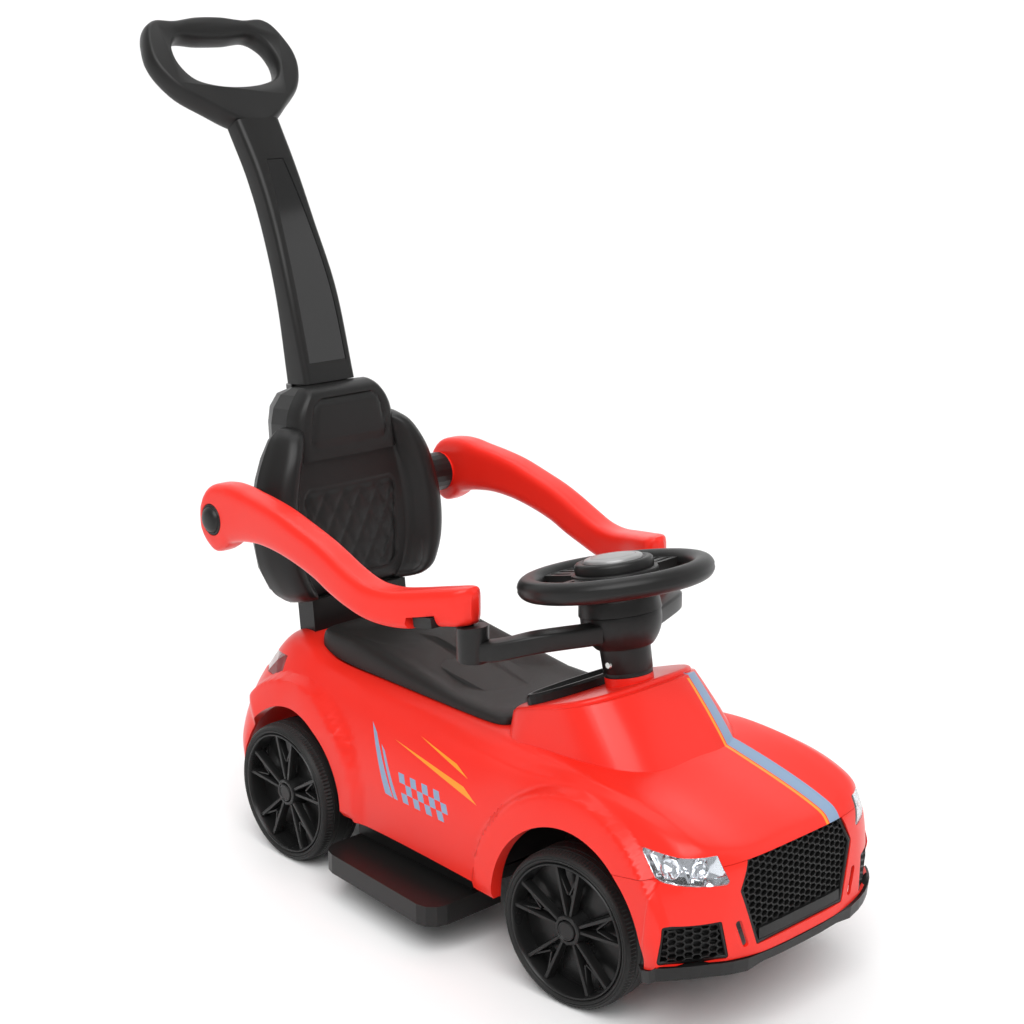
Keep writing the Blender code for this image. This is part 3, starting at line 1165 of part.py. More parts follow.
def build_backrest(mats, back):
    front = cup("backrest_front", BACK_ROWS, BACK_FRONT_SHAPE, mats["black"], back)
    combine(front, cup("head_front", HEAD_ROWS, HEAD_FRONT_SHAPE, None, back), "UNION")
    rear = cup("backrest_rear", BACK_ROWS, BACK_REAR_SHAPE, mats["black"], back)
    combine(rear, cup("head_rear", HEAD_ROWS, HEAD_REAR_SHAPE, None, back), "UNION")

    for shell, near, far in ((front, BACK_SEAM, 0.08), (rear, -0.08, BACK_SEAM + FIT_GAP)):
        combine(shell, link("seam_cut", block((-0.2, near, -0.05), (0.2, far, 0.3)), parent=back))
    top = back_height(HEAD_ROWS[-1][0])
    tongue_low = top - TONGUE_LENGTH
    middle = TONGUE_FACE + TONGUE_DEPTH / 2
    wall = BACK_WALL + FIT_GAP
    x, d = TONGUE_HALF_WIDTH + wall, TONGUE_DEPTH / 2 + wall
    spine = [(-x - 0.004, 0.030), (x + 0.004, 0.030), (x, middle + d + 0.002),
             (x - 0.006, SPINE_DEPTH), (-x + 0.006, SPINE_DEPTH), (-x, middle + d + 0.002)]
    combine(rear, link("spine", prism(spine, tongue_low - 0.055, top - 0.0005, "Z"),
                       parent=back), "UNION")
    combine(rear, link("socket", block((-x, TONGUE_FACE - wall, tongue_low - BACK_WALL),
                                       (x, middle + d, top - 0.0005)), parent=back), "UNION")
    g = FIT_GAP
    combine(rear, link("socket_way", block(
        (-TONGUE_HALF_WIDTH - g, TONGUE_FACE - g, tongue_low - g),
        (TONGUE_HALF_WIDTH + g, TONGUE_FACE + TONGUE_DEPTH + g, top + 0.02)), parent=back))
    button_way = link("button_way", rod(BUTTON_RADIUS + FIT_GAP, TONGUE_FACE + TONGUE_DEPTH,
                                        SPINE_DEPTH + 0.01, 16, "Y"), parent=back)
    button_way.location.z = top - BUTTON_DROP
    combine(rear, button_way)
    button = link("handle_lock_button",
                  rod(BUTTON_RADIUS, TONGUE_FACE + TONGUE_DEPTH + BUTTON_TRAVEL + FIT_GAP,
                      SPINE_DEPTH + 0.003, 16, "Y"), mats["black"], back)
    button.location.z = top - BUTTON_DROP

    link("backrest_base", base_box(back_height(BACK_ROWS[0][0]) - FIT_GAP, 0.0), mats["black"],
         back)

    for side, word in ((-1, "right"), (1, "left")):
        near, far = side * TUBE_ROOT_X, side * (ARM_FACE_X - FIT_GAP)
        sleeve = tube(HINGE_TUBE_RADIUS, HINGE_PIN_RADIUS + FIT_GAP, *sorted((near, far)), 20, "X")
        holder = link("hinge_sleeve_" + word, sleeve, mats["black"])
        holder.location = (0.0, ARM_PIVOT_Y, ARM_PIVOT_Z)
        for shell in (front, rear):
            way = link("sleeve_seat", rod(HINGE_TUBE_RADIUS + FIT_GAP,
                                          *sorted((near - side * FIT_GAP, far)), 20, "X"))
            way.location = (0.0, ARM_PIVOT_Y, ARM_PIVOT_Z)
            combine(shell, way)
        span = sorted((side * (TUBE_ROOT_X + 0.002), side * PIN_END))
        pin = link("arm_hinge_pin_" + word, rod(HINGE_PIN_RADIUS, *span, 14, "X"), mats["steel"])
        pin.location = (0.0, ARM_PIVOT_Y, ARM_PIVOT_Z)


def base_box(top, grow):
    return block((-BASE_HALF_WIDTH - grow, -BASE_DEPTH / 2 - grow, -BASE_BELOW - grow),
                 (BASE_HALF_WIDTH + grow, BASE_DEPTH / 2 + grow, top))


# Stations of the handle's stem: middle of its front face (y, z), half-width and depth
STEM = ((.2122, .4737, .0325, .0380), (.2385, .5645, .0320, .0290), (.2686, .6360, .0275, .0280),
        (.2960, .6900, .0265, .0270), (.3275, .7390, .0275, .0255))
LOOP_FOOT = (0.0, 0.3299, 0.7410)
LOOP = ((.0111, -.0086), (.0313, .0014), (.0507, .0168), (.0749, .0375), (.0882, .0609),
        (.0924, .0829), (.0885, .1045), (.0825, .1207), (.0756, .1293), (.0646, .1339),
        (.0437, .1327), (.0152, .1373))
LOOP_HOLE = ((.0127, .0423), (.0356, .0461), (.0516, .0532), (.0599, .0662), (.0622, .0814),
             (.0581, .0971), (.0439, .1080), (.0165, .1054))
INSERT_SPAN = (0.055, 0.79)
INSERT_HALF_WIDTHS = (.0236, .0225, .0190, .0145, .0105)


def both_sides(half):
    return list(half) + [(-x, v) for x, v in reversed(half)]


def offset_outline(points, distance):
    moved = []
    for k, point in enumerate(points):
        here = Vector(point)
        along = (Vector(points[(k + 1) % len(points)]) - here).normalized()
        along += (here - Vector(points[k - 1])).normalized()
        out = Vector((along.y, -along.x)).normalized()
        moved.append(tuple(here + out * distance))
    return moved


def loop_point(x, v, depth):
    # v runs up the tilted loop and depth to its rear
    foot = Vector(LOOP_FOOT)
    up = Vector((0.0, sin(LOOP_TILT), cos(LOOP_TILT)))
    rearward = Vector((0.0, cos(LOOP_TILT), -sin(LOOP_TILT)))
    return foot + Vector((x, 0.0, 0.0)) + up * v + rearward * depth


def stem_section(t):
    y, z, half, depth = curve_through(STEM, t)
    ahead, behind = curve_through(STEM, min(t + 0.01, 1.0)), curve_through(STEM, max(t - 0.01, 0))
    along = Vector((0.0, ahead[0] - behind[0], ahead[1] - behind[1])).normalized()
    if t == 0.0:
        along = Vector((0.0, sin(BACK_RAKE), cos(BACK_RAKE)))
    rearward = Vector((0.0, along.z, -along.y))
    return Vector((0.0, y, z)), half, depth, rearward


def stem_ring(t, half, near, far, chamfer):
    face, _, _, rearward = stem_section(t)
    return [face + Vector((x, 0.0, 0.0)) + rearward * d for x, d in (
        (-half + chamfer, near), (half - chamfer, near), (half, near + chamfer),
        (half, far - chamfer), (half - chamfer, far), (-half + chamfer, far),
        (-half, far - chamfer), (-half, near + chamfer))]


def build_handle(mats, back):
    rings = []
    for k in range(9):
        t = k / 8
        _, half, depth, _ = stem_section(t)
        rings.append(stem_ring(t, half, 0.0, depth, 0.006))
    handle = link("push_handle", loft(rings), mats["black"])
    outline = both_sides(LOOP)
    loop = []
    for inset, depth in ((-0.006, 0.0), (-0.001, 0.006), (0.0, 0.012), (-0.001, 0.018),
                         (-0.006, 0.024)):
        loop.append([loop_point(x, v, depth) for x, v in offset_outline(outline, inset)])
    combine(handle, link("loop", loft(loop)), "UNION")
    hole = []
    for grow, depth in ((0.008, -0.004), (0.006, 0.0005), (0.001, 0.006), (0.0, 0.012),
                        (0.001, 0.018), (0.006, 0.0235), (0.008, 0.028)):
        hole.append([loop_point(x, v, depth)
                     for x, v in offset_outline(both_sides(LOOP_HOLE), grow)])
    combine(handle, link("loop_hole", loft(hole)))
    top = back_height(HEAD_ROWS[-1][0])
    tongue = block((-TONGUE_HALF_WIDTH, TONGUE_FACE, top - TONGUE_LENGTH),
                   (TONGUE_HALF_WIDTH, TONGUE_FACE + TONGUE_DEPTH, top + 0.010))
    combine(handle, link("tongue", tongue, parent=back), "UNION")
    for name, grow, near, far in (("insert_pocket", FIT_GAP, -0.004, INSERT_SINK + INSERT_WALL
                                   + FIT_GAP), ("handle_insert", 0.0, INSERT_SINK,
                                                INSERT_SINK + INSERT_WALL)):
        strip = []
        for k in range(9):
            share = k / 8
            t = INSERT_SPAN[0] + (INSERT_SPAN[1] - INSERT_SPAN[0]) * share
            t += (share - 0.5) * 2 * grow / 0.3
            half = curve_through([(w, 0.0) for w in INSERT_HALF_WIDTHS], share)[0] + grow
            ring = stem_ring(t, half, near, far, 0.0)
            strip.append([ring[0], ring[1], ring[4], ring[5]])
        if grow:
            combine(handle, link(name, loft(strip)))
        else:
            link(name, loft(strip), mats["gloss"])


def build_dash(mats):
    # a raised oval rim with a sunk face, lying on the cowl's slope behind the column
    frame = empty("dash_frame", (0.0, DASH_Y, COWL_TOP[2] + (COWL_TOP[1] - DASH_Y)
                                 * tan(COWL_SLOPE)), (-COWL_SLOPE, 0.0, 0.0))
    rings = []
    for shrink, lift in ((0.0, FIT_GAP), (0.0, DASH_RIM - 0.0025), (0.0025, DASH_RIM),
                         (0.0055, DASH_RIM), (0.008, DASH_FACE)):
        rings.append([(a, b, lift) for a, b in superellipse(
            DASH_HALF_WIDTH - shrink, DASH_HALF_LENGTH - shrink, 2.0, 32, 0.5)])
    link("dash_panel", loft(rings), mats["gloss"], frame)


def main():
    clear_scene()
    mats = {
        "red": plastic("red_plastic", RED, 0.38), "black": plastic("black_plastic", BLACK, 0.42),
        "gloss": plastic("gloss_black", (0.006, 0.006, 0.007), 0.10),
        "rim": plastic("rim_plastic", (0.022, 0.022, 0.023), 0.33),
        "rubber": plastic("tyre_rubber", (0.020, 0.020, 0.021), 0.62),
        "steel": plastic("axle_steel", (0.55, 0.55, 0.56), 0.34, 1.0),
        "zinc": plastic("zinc_steel", (0.62, 0.62, 0.60), 0.30, 1.0),
        "chrome": plastic("chrome_plating", (0.80, 0.81, 0.82), 0.08, 1.0),
        "silver": plastic("silver_paint", (0.45, 0.46, 0.47), 0.35, 0.6),
        "clear": plastic("clear_lens", (0.86, 0.88, 0.90), 0.06),
        "ruby": plastic("ruby_lens", (0.20, 0.006, 0.010), 0.10),
    }
    mats["clear"].node_tree.nodes["Principled BSDF"].inputs["Transmission Weight"].default_value = 0.9
    column = column_frame()
    turning = empty("steering_turn", (0.0, 0.0, 0.0), (0.0, 0.0, REST_STEER), column)
    back = empty("backrest_frame", (0.0, BACK_FOOT_Y, BACK_FOOT_Z), (-BACK_RAKE, 0.0, 0.0))

    build_body(mats["red"], column, back)
    build_bumper(mats["red"])
    build_front_trim(mats)
    build_chassis(mats["black"], column)
    build_footrests(mats["black"])
    build_bin(mats["black"])
    build_seat(mats["black"])
    build_dash(mats)
    build_column(mats, column, turning)
    build_steering_wheel(mats, turning)
    build_cross_bar(mats, column)
    for side, word in ((-1, "right"), (1, "left")):
        build_arm(side, word, mats)
    build_backrest(mats, back)
    build_handle(mats, back)
    build_track_rod(mats)
    steered = []
    for side, word in ((-1, "right"), (1, "left")):
        knuckle = empty("knuckle_turn_" + word, (side * KINGPIN_X, KINGPIN_Y, 0.0),
                        (0.0, 0.0, REST_STEER))
        steered.append(knuckle)
        build_wheel("front_" + word, side, knuckle, mats)
        rear = empty("rear_wheel_" + word, (0.0, REAR_AXLE_Y, 0.0))
        build_wheel("rear_" + word, side, rear, mats)
    build_axles(mats, *steered)


main()
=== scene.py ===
import bmesh
import bpy
from math import atan2, cos, degrees, hypot, pi, radians, sin, tan
from mathutils import Matrix, Vector
from mathutils.bvhtree import BVHTree


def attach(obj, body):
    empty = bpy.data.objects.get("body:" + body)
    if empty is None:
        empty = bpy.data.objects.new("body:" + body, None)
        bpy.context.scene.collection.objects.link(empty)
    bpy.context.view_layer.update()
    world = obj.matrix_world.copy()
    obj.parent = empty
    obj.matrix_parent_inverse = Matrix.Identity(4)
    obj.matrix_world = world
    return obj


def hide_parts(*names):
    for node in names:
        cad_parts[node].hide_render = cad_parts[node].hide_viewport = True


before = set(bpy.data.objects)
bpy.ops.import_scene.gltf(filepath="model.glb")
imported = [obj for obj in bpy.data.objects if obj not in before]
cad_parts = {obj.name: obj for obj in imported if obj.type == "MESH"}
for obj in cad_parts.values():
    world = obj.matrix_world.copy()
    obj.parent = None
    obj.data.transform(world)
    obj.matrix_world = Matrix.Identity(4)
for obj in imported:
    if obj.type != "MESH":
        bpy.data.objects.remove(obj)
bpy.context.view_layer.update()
print("stage: frame loaded", flush=True)


# Materials

finishes = {    # name, deep and light colour, roughness and its spread, grain and its bump, metal, coat
    "red": ("redPlastic", (0.80, 0.018, 0.010), (0.86, 0.026, 0.014), 0.33, 0.05, 900, 0.05, 0.0, 0.10),
    "black": ("blackPlastic", (0.0085, 0.0083, 0.0082), (0.012, 0.0118, 0.0115), 0.38, 0.06, 1400, 0.16),
    "seat": ("seatPlastic", (0.012, 0.0113, 0.0106), (0.017, 0.016, 0.015), 0.47, 0.05, 2200, 0.35),
    "gloss": ("glossBlack", (0.004, 0.004, 0.004), (0.006, 0.006, 0.006), 0.10, 0.03, 40, 0.04, 0.0, 0.3),
    "rim": ("rimPlastic", (0.0085, 0.0085, 0.0085), (0.012, 0.012, 0.012), 0.28, 0.05, 900, 0.08),
    "rubber": ("tyreRubber", (0.010, 0.010, 0.0098), (0.015, 0.0148, 0.0145), 0.52, 0.07, 1600, 0.3),
    "steel": ("axleSteel", (0.42, 0.42, 0.43), (0.55, 0.55, 0.55), 0.32, 0.06, 300, 0.2, 1.0),
    "zinc": ("zincSteel", (0.60, 0.60, 0.58), (0.72, 0.72, 0.70), 0.28, 0.06, 300, 0.1, 1.0),
    "chrome": ("chromePlating", (0.80, 0.81, 0.82), (0.90, 0.91, 0.92), 0.09, 0.03, 60, 0.2, 1.0),
    "ruby": ("rubyLens", (0.16, 0.004, 0.006), (0.24, 0.008, 0.010), 0.14, 0.03, 80, 0.1, 0.0, 0.3),
    "horn": ("hornSilver", (0.30, 0.30, 0.30), (0.38, 0.38, 0.38), 0.36, 0.05, 1200, 0.1, 0.5),
}


def shaderOf(name, color, roughness, metallic=0.0, coat=0.0):
    mat = bpy.data.materials.new(name)
    mat.use_nodes = True
    shader = mat.node_tree.nodes["Principled BSDF"]
    level = 0.5 if metallic or coat > 0.15 else 0.3
    for key, value in (("Base Color", (*color, 1.0)), ("Roughness", roughness), ("Metallic", metallic),
                       ("Coat Weight", coat), ("Specular IOR Level", level), ("Coat Roughness", 0.12)):
        shader.inputs[key].default_value = value
    return mat, shader


def add(tree, kind, operation=None, **values):
    node = tree.nodes.new(kind)
    if operation:
        node.operation = operation
    for key, value in values.items():
        node.inputs[key.replace("_", " ")].default_value = value
    return node


def colorMix(tree, share, color):
    # mixes the colour into what is linked to socket 6, by the share
    mix = tree.nodes.new("ShaderNodeMix")
    mix.data_type = "RGBA"
    mix.inputs[7].default_value = (*color, 1.0)
    tree.links.new(share, mix.inputs[0])
    return mix


def grained(name, color, light, roughness, spread, scale, bump, metallic=0.0, coat=0.0):
    # a moulded surface: cloudy roughness, a faint change of colour and a fine grain
    mat, shader = shaderOf(name, color, roughness, metallic, coat)
    tree, link = mat.node_tree, mat.node_tree.links.new
    place = tree.nodes.new("ShaderNodeTexCoord")
    cloud = add(tree, "ShaderNodeTexNoise", Scale=9.0, Detail=3.0)
    rough = add(tree, "ShaderNodeMapRange", To_Min=roughness - spread, To_Max=roughness + spread)
    tint = colorMix(tree, cloud.outputs["Fac"], light)
    tint.inputs[6].default_value = (*color, 1.0)
    grain = add(tree, "ShaderNodeTexNoise", Scale=scale, Detail=2.0)
    relief = add(tree, "ShaderNodeBump", Strength=bump, Distance=0.0004)
    link(place.outputs["Object"], cloud.inputs["Vector"])
    link(place.outputs["Object"], grain.inputs["Vector"])
    link(cloud.outputs["Fac"], rough.inputs["Value"])
    link(rough.outputs["Result"], shader.inputs["Roughness"])
    link(tint.outputs[2], shader.inputs["Base Color"])
    link(grain.outputs["Fac"], relief.inputs["Height"])
    link(relief.outputs["Normal"], shader.inputs["Normal"])
    return mat


paint = {key: grained(*row) for key, row in finishes.items()}
paint["clear"], clearShader = shaderOf("clearLens", (0.95, 0.97, 1.0), 0.03, coat=0.2)
clearShader.inputs["Transmission Weight"].default_value = 0.96
clearShader.inputs["IOR"].default_value = 1.25


def middleOf(points):
    return Vector((sum(p[0] for p in points), sum(p[1] for p in points))) / len(points)


def halfPlane(tree, place, weights, limit):
    # 1 where the weighted sum of the coordinates is above the limit
    total = add(tree, "ShaderNodeVectorMath", "DOT_PRODUCT")
    total.inputs[1].default_value = weights
    step = add(tree, "ShaderNodeMath", "GREATER_THAN")
    step.inputs[1].default_value = limit
    tree.links.new(place.outputs["Object"], total.inputs[0])
    tree.links.new(total.outputs["Value"], step.inputs[0])
    return step.outputs[0]


def joinMasks(tree, masks, operation):
    while len(masks) > 1:
        step = add(tree, "ShaderNodeMath", operation)
        tree.links.new(masks[0], step.inputs[0])
        tree.links.new(masks[1], step.inputs[1])
        masks = masks[2:] + [step.outputs[0]]
    return masks[0]


def polygonMask(tree, place, axes, corners):
    # the inside of a convex outline drawn over two of the axes
    middle = middleOf(corners)
    masks = []
    for k, corner in enumerate(corners):
        a, b = Vector(corner), Vector(corners[(k + 1) % len(corners)])
        normal = Vector((b.y - a.y, a.x - b.x)).normalized()
        if normal.dot(middle - a) < 0:
            normal = -normal
        weights = [0.0, 0.0, 0.0]
        weights[axes[0]], weights[axes[1]] = normal
        masks.append(halfPlane(tree, place, weights, normal.dot(a)))
    return joinMasks(tree, masks, "MULTIPLY")


def decorate(mat, layers):
    # paints layers of outlines over a material's colour
    tree, link = mat.node_tree, mat.node_tree.links.new
    socket = tree.nodes["Principled BSDF"].inputs["Base Color"]
    place = tree.nodes.new("ShaderNodeTexCoord")
    for color, outlines in layers:
        mask = joinMasks(tree, [polygonMask(tree, place, *outline) for outline in outlines], "MAXIMUM")
        mix = colorMix(tree, mask, color)
        link(socket.links[0].from_socket, mix.inputs[6])
        link(mix.outputs[2], socket)


# Mesh helpers

sides = ((-1, "right"), (1, "left"))


def thingOf(name, bm, mat):
    bmesh.ops.remove_doubles(bm, verts=bm.verts, dist=1e-6)
    bmesh.ops.recalc_face_normals(bm, faces=bm.faces)
    data = bpy.data.meshes.new(name)
    bm.to_mesh(data)
    bm.free()
    thing = bpy.data.objects.new(name, data)
    bpy.context.scene.collection.objects.link(thing)
    data.materials.append(mat)
    return thing


def applySteps(thing):
    # the mesh as its modifiers leave it
    bpy.context.view_layer.update()
    graph = bpy.context.evaluated_depsgraph_get()
    data = bpy.data.meshes.new_from_object(thing.evaluated_get(graph))
    thing.modifiers.clear()
    thing.data = data


def carve(thing, bm, operation="DIFFERENCE"):
    cutter = thingOf("tool", bm, paint["red"])
    step = thing.modifiers.new("step", "BOOLEAN")
    step.operation, step.solver, step.object = operation, "EXACT", cutter
    applySteps(thing)
    bpy.data.objects.remove(cutter, do_unlink=True)


def dress(thing, body, node, angle=38):
    # hands a finished piece to the frame
    thing.data.shade_smooth()
    thing.data.set_sharp_from_angle(angle=radians(angle))
    while len(thing.data.materials) > 1:
        thing.data.materials.pop(index=len(thing.data.materials) - 1)
    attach(thing, body)
    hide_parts(node)


def show(name, bm, key, body, node, angle=38):
    dress(thingOf(name, bm, paint[key]), body, node, angle)


def addPart(whole, part):
    bmesh.ops.recalc_face_normals(part, faces=part.faces)
    data = bpy.data.meshes.new("part")
    part.to_mesh(data)
    part.free()
    whole.from_mesh(data)
    bpy.data.meshes.remove(data)


def placed(bm, matrix):
    bmesh.ops.transform(bm, matrix=matrix, verts=bm.verts)
    return bm


def moved(bm, place):
    bmesh.ops.translate(bm, verts=bm.verts, vec=place)
    return bm


def leaned(place, angle, axis="X"):
    return Matrix.Translation(place) @ Matrix.Rotation(radians(angle), 4, axis)


def loft(rings, closeEnds=True):
    bm = bmesh.new()
    rows = [[bm.verts.new(p) for p in ring] for ring in rings]
    count = len(rows[0])
    for near, far in zip(rows, rows[1:] if closeEnds else rows[1:] + rows[:1]):
        for k in range(count):
            bm.faces.new((near[k], near[(k + 1) % count], far[(k + 1) % count], far[k]))
    if closeEnds:
        bm.faces.new(rows[0])
        bm.faces.new(rows[-1])
    return bm


def sheetOf(outer, inner):
    # a closed sheet between two grids of points
    bm = bmesh.new()
    near, far = ([[bm.verts.new(p) for p in row] for row in grid] for grid in (outer, inner))
    last, end = len(near) - 1, len(near[0]) - 1
    for i in range(last):
        for k in range(end):
            bm.faces.new((near[i][k], near[i][k + 1], near[i + 1][k + 1], near[i + 1][k]))
            bm.faces.new((far[i][k], far[i + 1][k], far[i + 1][k + 1], far[i][k + 1]))
    rim = ([(0, k) for k in range(end + 1)] + [(i, end) for i in range(1, last + 1)]
           + [(last, k) for k in range(end - 1, -1, -1)] + [(i, 0) for i in range(last - 1, 0, -1)])
    for (i, k), (j, m) in zip(rim, rim[1:] + rim[:1]):
        bm.faces.new((near[i][k], far[i][k], far[j][m], near[j][m]))
    return bm


def onAxis(axis, a, b, height):
    return {"X": (height, a, b), "Y": (a, height, b), "Z": (a, b, height)}[axis]


def prism(outline, low, high, axis="Z"):
    return loft([[onAxis(axis, a, b, h) for a, b in outline] for h in (low, high)])


def box(x0, y0, x1, y1):
    return [(x0, y0), (x1, y0), (x1, y1), (x0, y1)]


def turned(profile, steps=96, axis="Z", close=False):
    # rows of the profile are (radius, height), and a third number sinks every other step
    bm = bmesh.new()
    rings = []
    for radius, height, *rib in profile:
        ring = []
        for k in range(steps if radius > 1e-7 else 1):
            r = radius - (rib[0] if rib and k % 2 else 0.0)
            a, b = r * cos(2 * pi * k / steps), r * sin(2 * pi * k / steps)
            ring.append(bm.verts.new(onAxis(axis, a, b, height)))
        rings.append(ring)
    for low, high in list(zip(rings, rings[1:])) + ([(rings[-1], rings[0])] if close else []):
        for k in range(steps):
            corners = list(dict.fromkeys((low[k % len(low)], low[(k + 1) % len(low)],
                                          high[(k + 1) % len(high)], high[k % len(high)])))
            if len(corners) > 2:
                bm.faces.new(corners)
    return bm


def rod(radius, low, high, steps=40, axis="Z"):
    return turned([(0, low), (radius, low), (radius, high), (0, high)], steps, axis)


def circle(a, b, radius, steps):
    return [(a + radius * cos(2 * pi * k / steps), b + radius * sin(2 * pi * k / steps))
            for k in range(steps)]


def mix(start, end, share):
    return start + (end - start) * share


def spline(p0, p1, p2, p3, u):
    return 0.5 * (p1 * 2 + (p2 - p0) * u + (p0 * 2 - p1 * 5 + p2 * 4 - p3) * u * u
                  + (p1 * 3 - p0 - p2 * 3 + p3) * u ** 3)


def curve(points, t):
    # smooth curve through the points, at t from 0 to 1
    place = t * (len(points) - 1)
    k = min(int(place), len(points) - 2)
    p1, p2 = Vector(points[k]), Vector(points[k + 1])
    p0 = Vector(points[k - 1]) if k else p1 * 2 - p2
    p3 = Vector(points[k + 2]) if k + 2 < len(points) else p2 * 2 - p1
    return spline(p0, p1, p2, p3, place - k)


def closedCurve(points, per):
    out = []
    for k in range(len(points)):
        four = [Vector(points[(k + j - 1) % len(points)]) for j in range(4)]
        out += [tuple(spline(*four, s / per)) for s in range(per)]
    return out


def smoothStep(low, high, value):
    t = min(max((value - low) / (high - low), 0.0), 1.0)
    return t * t * (3 - 2 * t)


def superellipse(halfA, halfB, power, steps):
    points = []
    for k in range(steps):
        c, s = cos(2 * pi * (k + 0.5) / steps), sin(2 * pi * (k + 0.5) / steps)
        points.append((halfA * abs(c) ** (2 / power) * (1 if c >= 0 else -1),
                       halfB * abs(s) ** (2 / power) * (1 if s >= 0 else -1)))
    return points


def rounded(corners, radius, steps=6):
    points = []
    for k, corner in enumerate(corners):
        here = Vector(corner)
        before = (Vector(corners[k - 1]) - here).normalized()
        after = (Vector(corners[(k + 1) % len(corners)]) - here).normalized()
        half = before.angle(after) / 2
        reach = radius / tan(half)
        middle = here + (before + after).normalized() * radius / sin(half)
        start = here + before * reach - middle
        sweep = start.angle_signed(here + after * reach - middle)
        for s in range(steps + 1):
            points.append(tuple(middle + Matrix.Rotation(-sweep * s / steps, 2) @ start))
    return points


def outlineAlong(points, distance):
    # the closed outline moved outwards
    out = []
    for k, point in enumerate(points):
        here = Vector(point)
        along = (Vector(points[(k + 1) % len(points)]) - here).normalized()
        along += (here - Vector(points[k - 1])).normalized()
        out.append(tuple(here + Vector((along.y, -along.x)).normalized() * distance))
    return out


def outlineMix(near, far, share):
    return [tuple(Vector(a).lerp(Vector(b), share)) for a, b in zip(near, far)]


# The body's skin: each station is its place in y, its sweep at the edge and its half outline in x, z

bodyStations = (
    (0.281, -0.063, (0, .070), (.050, .070), (.085, .070), (.105, .070), (.115, .070),
     (.119, .070), (.121, .070)),
    (0.281, -0.062, (0, .105), (.050, .105), (.085, .104), (.104, .102), (.114, .098),
     (.119, .088), (.121, .072)),
    (0.261, -0.064, (0, .150), (.048, .150), (.082, .149), (.101, .145), (.111, .132),
     (.117, .105), (.121, .070)),
    (0.231, -0.060, (0, .190), (.046, .190), (.078, .188), (.097, .180), (.107, .160),
     (.115, .120), (.120, .070)),
    (0.196, -0.043, (0, .220), (.048, .220), (.078, .217), (.094, .202), (.105, .178),
     (.113, .130), (.119, .070)),
    (0.150, -0.010, (0, .2190), (.050, .2190), (.080, .2175), (.095, .205), (.104, .186),
     (.113, .138), (.119, .070)),
    (0.100, 0.0, (0, .2055), (.068, .2055), (.079, .2085), (.095, .200), (.107, .181),
     (.117, .135), (.121, .070)),
    (-0.020, 0.0, (0, .2055), (.050, .2055), (.079, .2055), (.097, .194), (.111, .174),
     (.123, .128), (.125, .074)),
    (-0.140, 0.0, (0, .2055), (.050, .2055), (.079, .2055), (.099, .195), (.114, .178),
     (.126, .132), (.127, .072)),
    (-0.210, 0.0, (0, .209), (.050, .209), (.088, .208), (.106, .199), (.119, .184),
     (.127, .140), (.129, .070)),
    (-0.275, 0.0, (0, .212), (.050, .210), (.096, .209), (.109, .204), (.119, .190),
     (.127, .145), (.131, .072)),
    (-0.340, 0.0, (0, .199), (.050, .198), (.092, .203), (.108, .201), (.120, .188),
     (.129, .142), (.134, .076)),
    (-0.400, 0.030, (0, .183), (.050, .182), (.088, .187), (.106, .188), (.119, .178),
     (.132, .142), (.136, .080)),
    (-0.4205, 0.045, (0, .170), (.050, .170), (.082, .171), (.103, .171), (.1195, .164),
     (.135, .142), (.139, .078)),
    (-0.4265, 0.042, (0, .142), (.050, .142), (.083, .142), (.104, .142), (.122, .139),
     (.134, .122), (.140, .081)),
    (-0.4300, 0.040, (0, .082), (.050, .083), (.085, .086), (.104, .088), (.119, .088),
     (.132, .087), (.140, .086)),
)
skin = {
    "sweepPower": 4, "wall": 0.003,
    "bandFrom": 0.085, "bandReach": (-0.04, 0.034), "bandWidth": 0.033, "bandEdge": 0.0065,
    "bandLift": (0.0045, 0.010), "bandShare": 0.8, "bandFade": (8, 6),
    # y, z and radius of each arch, its lip in x, and the angles of its raised band
    "arches": ((0.138, 0.0725, 0.087, 0.1275, 40, 181), (-0.279, 0.0725, 0.095, 0.1410, -1, 168)),
    "bumperTop": ((-0.300, 0.142), (-0.379, 0.157), (-0.402, 0.158), (-0.409, 0.1675), (-0.500, 0.1675)),
    "bumperRow": 10.5, "bodyRow": 13.5,
    "well": (-0.060, -0.126, 0.060, 0.070), "backFoot": (-0.0628, -0.0003, 0.0628, 0.0263),
    "wellCut": (0.19, 0.24), "backCut": (-0.0485, 0.02), "columnHole": (0.0196, -0.1, 0.0),
    "archCut": (0.088, 0.2), "gap": 0.0005,
    "collar": ((0.0226, -0.078), (0.0226, -0.0473), (0.0095, -0.0473), (0.0095, -0.078)),
}
cowl = {"slope": radians(19.0), "base": (-0.2250, 0.198), "top": (-0.1950, 0.2462), "steps": 96,
        "halfWidth": (0.090, 0.079), "halfLength": (0.0875, 0.0565), "powers": (3.2, 6.5), "soft": 0.005,
        "shares": (0.0, 0.25, 0.5, 0.75, 0.92), "hollow": ((-0.012, 0.0), (-0.003, 1.0))}
fronts = {      # aim, outline across the aim and up, and reach of the cut for each opening
    "lamp": (radians(50), ((-0.1916, 0.1769), (-0.2564, 0.1768), (-0.2686, 0.1523), (-0.2054, 0.1570)),
             (0.29, 0.37)),
    "grille": (0.0, ((0.0618, 0.1710), (-0.0618, 0.1710), (-0.0745, 0.1440), (-0.0575, 0.0915),
                     (0.0575, 0.0915), (0.0745, 0.1440)), (0.39, 0.47)),
    "intake": (radians(33), ((-0.0985, 0.1215), (-0.1500, 0.1225), (-0.1571, 0.0885), (-0.0950, 0.0870)),
               (0.36, 0.47)),
    "slot": (0.0, ((0.0813, 0.1186), (0.0745, 0.1187), (0.0660, 0.0935), (0.0725, 0.0935)), (0.39, 0.47)),
}
